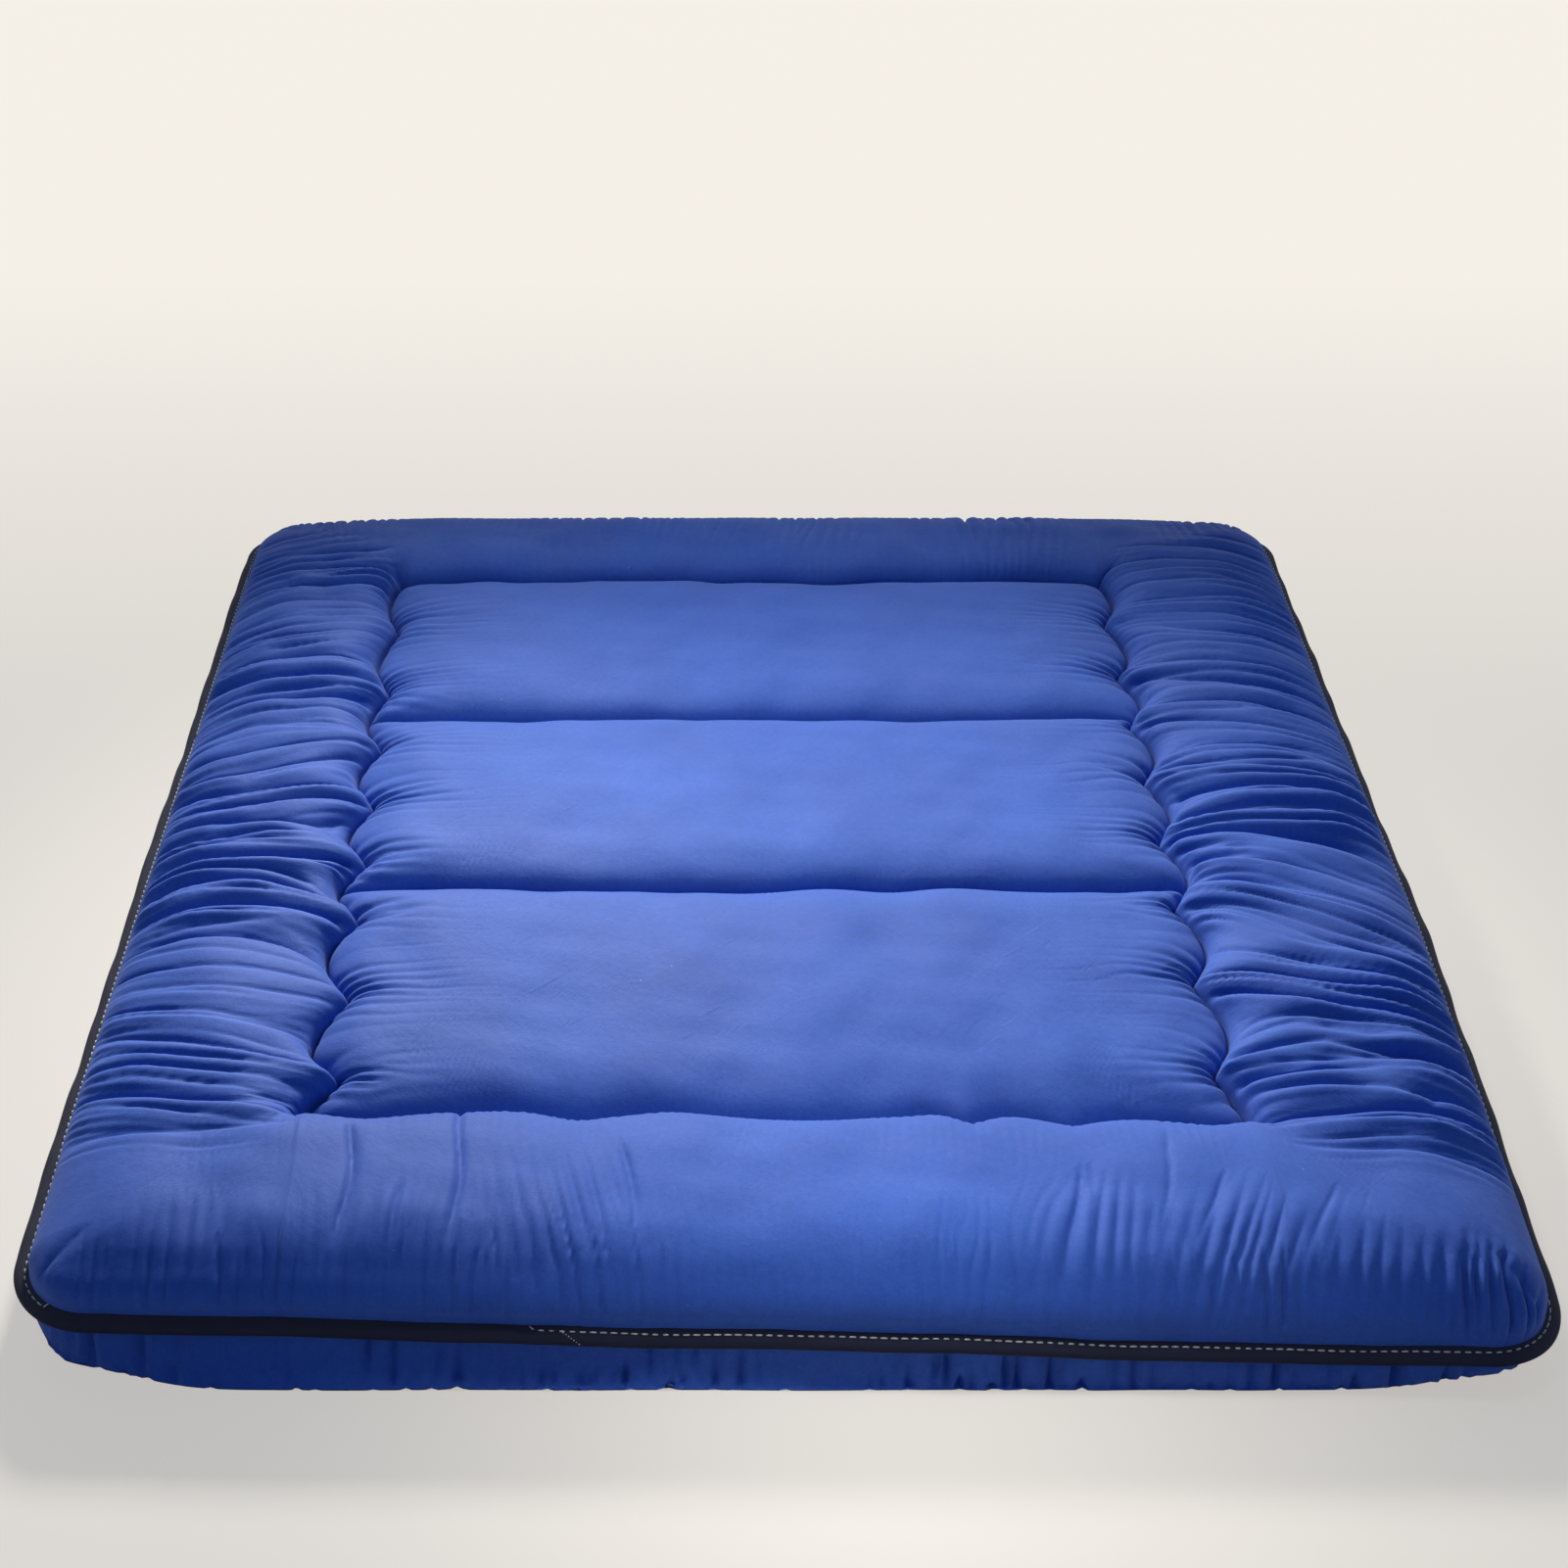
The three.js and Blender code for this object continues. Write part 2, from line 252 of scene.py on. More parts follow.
@dataclass
class Quilting:
    """The smooth form of the mattress over a plain rectangle, and where its stitches lie.

    Pairs hold the left and the right value, the foot and the head value, or a height and its reach.
    """

    layout: Layout
    left: LobedLine = LobedLine(
        (0.330, 0.468, 0.676, 0.826, 0.969, 1.130, 1.292, 1.479, 1.700), 0.022, 0.07, 0.5
    )
    right: LobedLine = LobedLine(
        (0.330, 0.519, 0.703, 0.865, 1.032, 1.198, 1.353, 1.511, 1.700), 0.017, 0.07, 0.8
    )
    foot: LobedLine = LobedLine((-0.678, -0.368, -0.132, 0.184, 0.290, 0.439, 0.640), 0.009, 0.2)
    left_set: Span = (-0.008, 0.037)
    right_set: Span = (-0.015, -0.001)
    line_end_reach: float = 0.06
    cross_wave_depth: float = 0.0035
    cross_waves: tuple[Triple, ...] = ((0.61, 1.0, 1.7), (0.23, 0.6, 1.0))
    cross_wave_reach: float = 0.09
    foot_skew: float = 0.020
    foot_sag: Span = (0.028, 0.012)
    foot_sag_reach: float = 0.45
    swell: Span = (0.004, 0.009)
    seam_rise: float = 5 * MILLI
    seam_gap: float = 1.5 * MILLI
    sway: float = 1.6 * MILLI
    sway_pace: Triple = (9.0, 7.3, 23.0)
    hem_turn: Span = (8 * MILLI, 7 * MILLI)
    outer_power: float = 2.2
    inner_power: float = 3.5
    pillow_power: float = 3.1
    pillow_rounding: float = 0.9
    pillow_rise: Span = (7 * MILLI, 0.18)
    foot_slump: tuple[Span, ...] = ((13 * MILLI, 0.14), (6 * MILLI, 0.045))
    overhang: float = 0.005
    overhang_place: Span = (0.012, 0.013)
    crest_drop: float = 0.007
    corner_drop: Span = (0.006, 0.022)
    corner_drop_reach: float = 0.20
    tuck_height: float = 0.012
    tuck_reach: float = 0.028
    foot_tuck: Span = (0.030, 0.100)
    skirt_radius: float = 0.060
    skirt_belly: float = 0.004
    skirt_power: float = 0.62
    skirt_spread: Span = (0.085, 0.015)
    corner_setback: Span = (0.038, 0.027)
    corner_round: float = 0.020
    corner_round_reach: Span = (0.035, 0.060)
    crease_depth: float = 0.016
    crease_length: float = 0.024
    crease_share: Span = (1.0, 0.3)
    crease_width: Span = (0.007, 0.20)
    crease_way: Span = (0.45, 0.89)

    def distances(self, x: Array, y: Array) -> tuple[Array, Array, Array]:
        """Distance in from the side edge, the foot edge and the head edge."""
        lay = self.layout
        return lay.half_width - np.abs(x), y - lay.foot_edge, lay.head_edge - y

    def inward(self, x: Array, y: Array) -> Array:
        """Distance in from the seam of the binding."""
        side, foot, head = self.distances(x, y)
        return np.minimum(side, np.minimum(foot, head)) - self.layout.seam_inset

    def shares(self, x: Array, y: Array) -> tuple[Array, Array]:
        """How far across the side bolster and the end bolster a point is, from 0 to 1 at the quilting."""
        lay = self.layout
        side, foot, head = self.distances(x, y)
        across = (side - lay.seam_inset) / (lay.side_bolster - lay.seam_inset)
        foot_share = (foot - lay.seam_inset) / (lay.foot_seam - lay.foot_edge - lay.seam_inset)
        head_share = (head - lay.seam_inset) / (lay.head_edge - lay.head_seam - lay.seam_inset)
        return across, np.minimum(foot_share, head_share)

    def turn_corner(self, side: Array, end: Array) -> tuple[Array, Array]:
        """Moves every ring round the mattress onto its own arc at the corner."""
        ring = np.minimum(side, end)
        run = np.maximum(side, end) - ring
        radius = np.maximum(self.layout.corner - ring, 1e-9)
        turn = (math.pi / 4) * (1 - np.minimum(run / radius, 1.0))
        near = ring + radius * (1 - np.cos(turn))
        far = np.where(run < radius, ring + radius * (1 - np.sin(turn)), np.maximum(side, end))
        return np.where(side < end, near, far), np.where(side < end, far, near)

    def side_line(self, x: Array, y: Array) -> Array:
        """How far the side quilting line stands outward of its mean at this height up the bed.

        Args:
            x, y: places on the rectangle.

        Returns:
            Distances in metres.
        """
        lay = self.layout
        run = y - lay.foot_edge
        up = np.clip((y - lay.foot_seam) / (lay.head_seam - lay.foot_seam), 0, 1)
        wave = np.where(x < 0, self.left.offset(run), self.right.offset(run))
        wave = wave * (1 - up * (1 - np.where(x < 0, self.left.far_share, self.right.far_share)))
        low, high = (np.where(x < 0, *pair) for pair in zip(self.left_set, self.right_set))
        beyond = np.maximum(np.maximum(lay.foot_seam - y, y - lay.head_seam), 0)
        rounding = -self.corner_round * fade(np.abs(y - lay.head_seam), self.corner_round_reach[0])
        return (wave + low + (high - low) * up) * fade(beyond, self.line_end_reach) + rounding

    def cross_wave(self, x: Array, y: Array) -> Array:
        """How far the lines that cross the mattress wander along it.

        Args:
            x, y: places on the rectangle.

        Returns:
            Distances in metres, towards the head.
        """
        lay, reach = self.layout, self.cross_wave_reach
        inside = 1 - smooth_step(-0.02, 0.05, np.abs(x) - lay.inner)
        total = self.foot.offset(x) * fade(np.abs(y - lay.foot_seam), reach)
        for index, line in enumerate(lay.lines[1:]):
            waves = (share * np.sin(TURN * x / pitch + lag * index) for pitch, share, lag in self.cross_waves)
            total = total + self.cross_wave_depth * sum(waves) * fade(np.abs(y - line), reach)
        corner = fade(np.abs(lay.inner - np.abs(x)), 0.045)
        at_head = fade(np.abs(y - lay.head_seam), self.corner_round_reach[1])
        total = total - self.corner_round * corner * at_head
        return inside * total

    def skew(self, x: Array, y: Array) -> Array:
        """How far the foot edge lies towards the foot on one side and towards the head on the other."""
        lay = self.layout
        return self.foot_skew * (x / lay.half_width) * (1 - smooth_step(lay.foot_edge, lay.cross_a, y))

    def side_swell(self, x: Array, y: Array) -> Array:
        """How far the sides swell out past their corners, counted outward from the side quilting lines."""
        lay = self.layout
        least, more = self.swell
        right = least + more * smooth_step(lay.foot_seam, lay.cross_a, y)
        near_edge = smooth_step(lay.inner, lay.half_width, np.abs(x))
        return np.sign(x) * near_edge * np.where(x < 0, least, right)

    def plan(self, x: Array, y: Array, skewed: Array | float = 1.0) -> tuple[Array, Array]:
        """The real place in plan of points of the plain rectangle.

        Args:
            x: places across the mattress.
            y: places along it.
            skewed: how much of the foot edge's slant a point takes, from 0 to 1.

        Returns:
            The places moved.
        """
        lay = self.layout
        side, foot, head = self.distances(x, y)
        at_foot = y < 0
        side, end = self.turn_corner(side, np.where(at_foot, foot, head))
        in_bolster = smooth_step(lay.seam_inset, lay.side_bolster, side) ** 1.5
        in_panel = fade(np.maximum(side - lay.side_bolster, 0), 0.12)
        outward = self.side_line(x, y) * in_bolster * in_panel
        px = np.sign(x) * (lay.half_width - side + outward)
        py = np.where(at_foot, lay.foot_edge + end, lay.head_edge - end)
        px = px + self.side_swell(px, py)
        return px, py + self.cross_wave(x, y) - skewed * self.skew(x, y)

    def binding_sway(self, x: Array, y: Array) -> Array:
        """The slow rise and fall of the bound edge round the mattress."""
        pace_x, pace_y, pace = self.sway_pace
        slow = np.sin(pace_x * x + 0.6) + np.sin(pace_y * y + 2.0) + 0.5 * np.sin(pace * (x + y))
        return self.sway * slow

    def root_height(self, x: Array, y: Array) -> Array:
        """Height of the seam where the covers go into the tape."""
        lay = self.layout
        sag = self.foot_sag[0] + self.foot_sag[1] * x / lay.half_width
        sag = sag * (1 - smooth_step(0.0, self.foot_sag_reach, y - lay.foot_edge))
        return lay.binding + self.seam_rise + self.binding_sway(x, y) - sag

    def corner_crease(self, x: Array, y: Array) -> Array:
        """How deep the crease is that runs out from each corner of the quilting.

        Args:
            x, y: places on the rectangle.

        Returns:
            Depths in metres.
        """
        lay = self.layout
        out_x = np.abs(x) - lay.inner
        out_y = np.where(y < 0, lay.foot_seam - y, y - lay.head_seam)
        way_x, way_y = self.crease_way
        along, aside = way_x * out_x + way_y * out_y, way_y * out_x - way_x * out_y
        near = hill(aside, self.crease_width[0] + self.crease_width[1] * np.abs(along))
        depth = np.where(x < 0, *self.crease_share) * self.crease_depth * near
        return depth * fade(np.maximum(along, 0), self.crease_length) * (along > -0.01)

    def corner_fall(self, x: Array, y: Array) -> Array:
        """How much lower the bolster lies at the corners of the mattress than along its sides."""
        side, foot, head = self.distances(x, y)
        drop = np.where(foot < head, *self.corner_drop)
        reach = self.corner_drop_reach
        return drop * np.exp(-((side / reach) ** 2) - (np.minimum(foot, head) / reach) ** 2)

    def top_height(self, x: Array, y: Array) -> Array:
        """Height of the top cover: a fat bolster all round, and pillows between the lines.

        Args:
            x, y: places on the rectangle.

        Returns:
            Heights in metres.
        """
        lay = self.layout
        side, _, _ = self.distances(x, y)
        across, along = self.shares(x, y)
        rounding = 0.7 * (1 - smooth_step(0.35, 1.0, np.maximum(across, along)))
        share = np.clip(soft_min(np.maximum(across, 0), np.maximum(along, 0), rounding), 0.0, 1.0)
        flat = self.root_height(x, y) + self.seam_gap
        base = flat + (lay.stitch - flat) * share
        outer, inner = plump(2 * share, self.outer_power), plump(2 - 2 * share, self.inner_power)
        crest = lay.crest - self.crest_drop - self.corner_fall(x, y)
        bolster = base + (crest - base) * np.where(share < 0.5, outer, inner)
        reach = np.maximum(side - lay.side_bolster, 0)
        for line in lay.lines:
            reach = soft_min(reach, np.abs(y - line), self.pillow_rounding)
        pillow = lay.stitch + (lay.crown - lay.stitch) * plump(reach / lay.pillow_reach, self.pillow_power)
        pillow = pillow + self.pillow_rise[0] * (1 - fade(reach, self.pillow_rise[1]))
        for depth, length in self.foot_slump:
            pillow = pillow - depth * fade(np.abs(y - lay.foot_seam), length)
        cloth = np.where((across > 1) & (along > 1), pillow, bolster - self.corner_crease(x, y))
        outermost = np.minimum(across, along)
        return np.where(outermost <= 0, flat - self.hem_turn[0] * (outermost < -0.01), cloth)

    def underside_height(self, x: Array, y: Array) -> Array:
        """Height of the bottom cover: a round skirt, flat on the floor, tucked up under the lines.

        Args:
            x, y: places on the rectangle.

        Returns:
            Heights in metres.
        """
        lay = self.layout
        side, _, _ = self.distances(x, y)
        inward = self.inward(x, y)
        flat = self.root_height(x, y) - self.seam_gap
        share = np.clip(inward / self.skirt_radius, 0, 1)
        skirt = flat * (1 - np.sin(math.pi / 2 * share) ** self.skirt_power)
        in_length = (y > lay.foot_seam) & (y < lay.head_seam)
        reach = np.where(in_length, np.abs(side - lay.side_bolster), self.tuck_reach)
        for line in lay.lines:
            reach = np.minimum(reach, np.hypot(y - line, np.maximum(lay.side_bolster - side, 0)))
        tuck = self.tuck_height * (1 - smooth_step(0.0, 1.0, reach / self.tuck_reach))
        height, width = self.foot_tuck
        deep = height * (0.3 + 0.7 * smooth_step(0.05, 0.15, inward))
        tuck = np.maximum(tuck, deep * (1 - smooth_step(0.0, 1.0, np.abs(y - lay.foot_seam) / width)))
        return np.where(inward <= 0, flat - self.hem_turn[1] * (inward < -0.003), skirt + tuck)

    def outward_way(self, x: Array, y: Array) -> tuple[Array, Array]:
        """The level direction out of the mattress at points near its edge.

        Args:
            x, y: places on the rectangle.

        Returns:
            The direction's X and Y parts.
        """
        side, foot, head = self.distances(x, y)
        end = np.minimum(foot, head)
        ring = np.minimum(side, end)
        run = (np.maximum(side, end) - ring) / np.maximum(self.layout.corner - ring, 1e-9)
        turn = (math.pi / 4) * (1 - np.clip(run, 0, 1))
        main, other = np.cos(turn), np.sin(turn)
        ox = np.where(side < end, main, other) * np.sign(x)
        oy = np.where(side < end, other, main) * np.where(foot < head, -1.0, 1.0)
        return ox, oy

    def belly(self, face: Face, x: Array, y: Array) -> Array:
        """How far the cloth swells outward over its seam.

        Args:
            face: the cover that swells.
            x, y: places on the rectangle.

        Returns:
            Distances in metres, outward.
        """
        inward = self.inward(x, y)
        side, foot, head = self.distances(x, y)
        end = np.minimum(foot, head)
        if face is Face.TOP:
            at_end = smooth_step(-0.04, 0.04, side - end)
            at_end = at_end * (1 + 0.9 * (1 - smooth_step(-0.29, -0.24, x)) * (y < 0))
            middle, reach = self.overhang_place
            return at_end * self.overhang * hill(inward - middle, reach) * (inward > 0)
        share = np.clip(inward / self.skirt_radius, 0, 1)
        corner = hill(np.abs(side - end), 0.10) * fade(np.maximum(np.minimum(side, end) - 0.08, 0), 0.1)
        at_head = smooth_step(-0.15, 0.05, side - head)
        spread = self.skirt_spread[0] + (self.skirt_spread[1] - self.skirt_spread[0]) * at_head
        swell = self.skirt_belly * np.sin(math.pi * share**0.6) ** 0.8 + spread * share
        setback = np.where(x < 0, *self.corner_setback) * (y < 0)
        swell = swell - setback * corner * smooth_step(0, 1, share) ** 0.7
        return swell * fade(np.maximum(inward - self.skirt_radius, 0), 0.12)


# --- Gathers ---


@dataclass
class Ripples:
    """Folds of gathered cloth: rounded ridges with creases between, long one way and close the other."""

    seed: int
    pitch: float
    length: float
    regularity: float = 0.17
    crease: float = 0.12
    roundness: float = 1.0
    fineness: int = 12

    def __post_init__(self) -> None:
        """Draws the folds once as a table that repeats."""
        rng = np.random.default_rng(self.seed)
        shape = (self.fineness * 160, self.fineness * 12)
        white = rng.standard_normal(shape) + 1j * rng.standard_normal(shape)
        run = np.fft.fftfreq(shape[0])[:, None] * self.fineness
        across = np.fft.fftfreq(shape[1])[None, :] * self.fineness
        gain = np.exp(-(((run - 0.5) / self.regularity) ** 2) / 2 - ((across / 0.42) ** 2) / 2) * (run > 0)
        wave = np.fft.ifft2(np.fft.fft2(white) * gain)
        reach = np.abs(wave) / np.abs(wave).mean()
        ridges = (np.cos(np.angle(wave)) ** 2 + self.crease**2) ** (self.roundness / 2)
        ridges = (ridges - ridges.mean()) * np.minimum(reach, 1.3) ** 0.6
        self.table = ridges / ridges.std()

    def height(self, run: Array, across: Array) -> Array:
        """The folds' height at points, with unit spread.

        Args:
            run: distance along the seam that the cloth is gathered into.
            across: distance away from that seam.

        Returns:
            Heights, in the shape of run.
        """
        rows, columns = self.table.shape
        u = (run / self.pitch * self.fineness) % rows
        v = (across / self.length * self.fineness) % columns
        i, j = np.floor(u).astype(int), np.floor(v).astype(int)
        fu, fv = u - i, v - j
        i1, j1 = (i + 1) % rows, (j + 1) % columns
        i, j = i % rows, j % columns
        near = self.table[i, j] * (1 - fu) + self.table[i1, j] * fu
        far = self.table[i, j1] * (1 - fu) + self.table[i1, j1] * fu
        return near * (1 - fv) + far * fv


@dataclass
class Drift:
    """A slow random rise and fall, the same on every run."""

    seed: int
    size: float
    terms: int = 14

    def __post_init__(self) -> None:
        """Draws its waves."""
        rng = np.random.default_rng(self.seed)
        angle = rng.uniform(0, TURN, self.terms)
        pace = TURN / self.size * rng.uniform(0.5, 1.3, self.terms)
        self.kx, self.ky = pace * np.cos(angle), pace * np.sin(angle)
        self.start = rng.uniform(0, TURN, self.terms)

    def value(self, x: Array, y: Array) -> Array:
        """Its value at points, with unit spread."""
        total = np.zeros(np.broadcast(x, y).shape)
        for kx, ky, start in zip(self.kx, self.ky, self.start):
            total += np.sin(kx * x + ky * y + start)
        return total * math.sqrt(2 / self.terms)

    def share(self, x: Array, y: Array, mean: float, spread: float, limits: Span) -> Array:
        """Its value about a mean, held within limits."""
        return np.clip(mean + spread * self.value(x, y), *limits)


@dataclass(frozen=True)
class Bunch:
    """Folds drawn together on the foot bolster: where, how wide, how far they slant, and how high."""

    place: float
    reach: float
    slant: float
    top: float
    height: float

    def weight(self, x: Array, t: Array) -> Array:
        """The bunch's height at a place, where t is the share of the way up to the quilting."""
        near = hill(x + self.slant * t - self.place, self.reach)
        return self.height * near * (1 - smooth_step(0.45 * self.top, self.top, t))


@dataclass(frozen=True)
class Crease:
    """One long crease over the foot bolster."""

    place: float
    slant: float
    start: float
    end: float
    depth: float
    width: float = 0.0045

    def height(self, x: Array, t: Array) -> Array:
        """The crease's height, below 0 inside it."""
        away = np.abs(x + self.slant * t + 0.004 * np.sin(9 * t) - self.place)
        whole = window((self.start, self.start + 0.25), (self.end - 0.12, self.end), t)
        return self.depth * whole * (0.35 * fade(away, 3 * self.width) - fade(away, self.width))


@dataclass
class Gathers:
    """Every fold of the covers, as a height along the cloth's normal.

    Heights that end in mm are millimetres, and a height named dip is how much deeper the valleys
    between folds are. Pairs hold the left and the right value.
    """

    quilting: Quilting
    bunches: tuple[Bunch, ...] = (
        Bunch(-0.235, 0.085, 0.03, 0.72, 0.0013),
        Bunch(-0.420, 0.120, 0.00, 0.58, 0.0009),
        Bunch(-0.700, 0.160, -0.03, 0.42, 0.0008),
        Bunch(0.350, 0.060, -0.06, 0.64, 0.0014),
        Bunch(0.500, 0.075, -0.12, 0.62, 0.0013),
        Bunch(0.760, 0.120, -0.06, 0.40, 0.0014),
    )
    foot_lines: tuple[Crease, ...] = (
        Crease(-0.525, 0.004, 0.12, 0.90, 0.0105, 0.007),
        Crease(-0.388, 0.010, 0.12, 1.05, 0.0085, 0.007),
        Crease(-0.455, 0.020, 0.05, 0.50, 0.0045, 0.006),
        Crease(-0.165, 0.025, 0.15, 0.75, 0.0050, 0.006),
        Crease(0.362, -0.010, 0.20, 0.66, 0.0045, 0.008),
        Crease(0.420, -0.070, 0.20, 0.84, 0.0050, 0.010),
        Crease(0.452, -0.120, 0.15, 0.62, 0.0050, 0.009),
        Crease(0.330, -0.040, 0.05, 0.65, 0.0065, 0.006),
        Crease(0.590, -0.110, 0.12, 0.55, 0.0035, 0.009),
    )
    roll_mm: Span = (3.7, 4.4)
    roll_dip_mm: float = 2.2
    crease_mm: float = 2.4
    crease_dip_mm: float = 1.0
    fine_mm: float = 1.4
    pleat_mm: float = 3.3
    pleat_length: float = 0.066
    hem_mm: float = 2.4
    line_mm: float = 0.7
    head_mm: float = 1.1
    skirt_mm: float = 2.8
    notch_mm: float = 2.5
    side_lean: float = 0.16
    side_bow: float = 0.010
    side_pull: Span = (0.75, 0.22)
    side_jog: Span = (0.0024, 0.0010)
    side_sag: Span = (0.012, 0.062)
    shoulder_gain: Span = (0.35, 0.85)
    shoulder_place: Span = (0.26, 0.15)
    dip_below: Span = (0.6, 0.7)
    hand_shift: float = 7.3

    def __post_init__(self) -> None:
        """Draws the folds of each kind, and the slow changes along the seams."""
        self.rolls = Ripples(3, 0.061, 0.60, 0.16, 0.10)
        self.creases = Ripples(4, 0.029, 0.34, 0.17, 0.08, 0.80)
        self.fine = Ripples(5, 0.0155, 0.16, 0.20, 0.08, 0.80)
        self.pleats = Ripples(7, 0.024, 0.16, 0.2, 0.08, 0.70)
        self.foot_folds = Ripples(9, 0.0235, 0.26, 0.20, 0.25)
        self.hem_folds = Ripples(11, 0.0190, 0.12, 0.3, 0.10, 0.8)
        self.skirt_folds = Ripples(13, 0.022, 0.20, 0.30, 0.05, 0.7)
        self.strength = Drift(21, 0.34)
        self.lean = Drift(22, 0.55)
        self.bow = Drift(23, 0.40)
        self.fullness = Drift(24, 0.30)
        self.patches = Drift(25, 0.16)

    def weights(self, x: Array, y: Array) -> tuple[Array, Array, Array]:
        """Shares, from 0 to 1, of side bolster, end bolster and panel at each point."""
        across, along = self.quilting.shares(x, y)
        panel = ((across > 1) & (along > 1)).astype(float)
        to_side = smooth_step(-0.22, 0.22, along - across)
        return (1 - panel) * to_side, (1 - panel) * (1 - to_side), panel

    def side_seam(self, x: Array, y: Array) -> tuple[Array, Array, Array]:
        """The run along each side seam, the crowding at its cusps, and the right side's own shift."""
        run = y - self.quilting.layout.foot_edge
        left, right = self.quilting.left, self.quilting.right
        crowd = np.where(x < 0, left.crowding(run), right.crowding(run))
        return run, crowd, np.where(x < 0, 0.0, self.hand_shift)

    def top(self, x: Array, y: Array) -> Array:
        """The folds of the top cover."""
        in_side, in_end, in_panel = self.weights(x, y)
        side_folds, end_folds = self.side_folds(x, y), self.end_folds(x, y)
        return in_side * side_folds + in_end * end_folds + in_panel * self.panel_folds(x, y)

    def side_folds(self, x: Array, y: Array) -> Array:
        """Fans of folds over the side bolsters, drawn together at the cusps of the quilting line.

        Args:
            x, y: places on the rectangle.

        Returns:
            Heights in metres.
        """
        across, along = self.quilting.shares(x, y)
        side, _, _ = self.quilting.distances(x, y)
        run, crowd, hand = self.side_seam(x, y)
        t = np.clip(across, 0, 1)
        leaning = self.side_lean * self.lean.value(hand, y) * (t - 0.4) * self.quilting.layout.side_bolster
        bowing = self.side_bow * self.bow.value(hand + 2, y) * np.sin(math.pi * t)
        pull = self.side_pull[0] * fade(1 - t, self.side_pull[1])
        sag = np.where(x < 0, *self.side_sag) * (1 - t) ** 2
        seam = run + leaning + bowing + sag + pull * crowd + hand
        strength = self.strength.share(hand + 0.12 * t, y, 0.9, 0.32, (0.35, 1.6))
        shoulder = hill(t - self.shoulder_place[0], self.shoulder_place[1])
        strength = strength * (1 + np.where(x < 0, *self.shoulder_gain) * shoulder)
        patch = self.patches.share(hand + x, 1.6 * y, 0.75, 0.55, (0.1, 1.9))
        beyond = np.where(y < 0, 1.8 * (1 - along), 1 - along)
        ends = smooth_step(0, 0.10, t) * smooth_step(0, 0.07, 1 - t) * (1 - smooth_step(0.05, 0.75, beyond))
        near_seams = fade(t, 0.22) + 0.7 * fade(1 - t, 0.16)
        leant = seam - self.side_jog[0] * self.rolls.height(seam, side)
        leant = leant - self.side_jog[1] * self.creases.height(leant + 0.11, side)
        rolls, creases = self.rolls.height(leant, side), self.creases.height(leant + 0.11, side)
        crease_dip = self.crease_dip_mm * np.maximum(-creases - self.dip_below[1], 0)
        return ends * strength * (
            np.where(x < 0, *self.roll_mm) * MILLI * rolls
            - self.roll_dip_mm * MILLI * np.maximum(-rolls - self.dip_below[0], 0)
            + (0.30 + 0.70 * patch) * MILLI * (self.crease_mm * creases - crease_dip)
            + self.fine_mm * MILLI * near_seams * self.fine.height(seam + 0.3, side)
        )

    def panel_folds(self, x: Array, y: Array) -> Array:
        """Short pleats that run into the panels from the cusps of the side lines.

        Args:
            x, y: places on the rectangle.

        Returns:
            Heights in metres.
        """
        side, _, _ = self.quilting.distances(x, y)
        run, crowd, hand = self.side_seam(x, y)
        cusp = np.where(x < 0, self.quilting.left.nearness(run), self.quilting.right.nearness(run))
        away = np.maximum(side - self.quilting.layout.side_bolster, 0)
        pull = 0.8 * fade(away, 0.07)
        fan = run + pull * crowd + hand
        length = np.exp(-((away / self.pleat_length) ** 1.4)) * smooth_step(0, 0.010, away)
        return self.pleat_mm * MILLI * length * (0.12 + 0.88 * cusp) * self.pleats.height(fan, away + 1.0)

    def end_folds(self, x: Array, y: Array) -> Array:
        """Puckers, bunches and creases over the foot and head bolsters.

        Args:
            x, y: places on the rectangle.

        Returns:
            Heights in metres.
        """
        _, along = self.quilting.shares(x, y)
        _, foot, head = self.quilting.distances(x, y)
        t = np.clip(along, 0, 1)
        end = np.minimum(foot, head)
        sway = x + 0.006 * self.bow.value(x, y)
        fullness = self.fullness.share(x, 0 * y + np.sign(y), 0.7, 0.5, (0.1, 1.7))
        hem = smooth_step(0, 0.03, t) * hill(t, 0.13 + 0.09 * fullness)
        near_line = fade(1 - t, 0.10) * smooth_step(0, 0.04, 1 - t)
        puckers = self.hem_folds.height(sway + np.sign(y), end)
        corner = 1 + 1.1 * smooth_step(0.45, 0.75, x) * (y < 0)
        dips = 0.4 * puckers - 1.3 * np.maximum(-puckers - 0.7, 0)
        folds = self.hem_mm * MILLI * hem * fullness * corner * dips
        folds = folds + self.line_mm * MILLI * near_line * fullness * self.fine.height(sway, end)
        over_head = window((0.05, 0.25), (0.5, 0.9), t) * (y > 0)
        folds = folds + self.head_mm * MILLI * over_head * fullness * self.foot_folds.height(sway + 5, end)
        whole = smooth_step(0, 0.04, t) * smooth_step(0, 0.05, 1 - t) * (y < 0)
        for bunch in self.bunches:
            slanted = sway + bunch.slant * t
            uneven = self.patches.share(slanted, 0.6 * end, 0.8, 0.5, (0.1, 1.6))
            folds = folds + whole * uneven * bunch.weight(sway, t) * self.foot_folds.height(slanted, end)
        for line in self.foot_lines:
            folds = folds + (y < 0) * line.height(sway, t)
        return folds

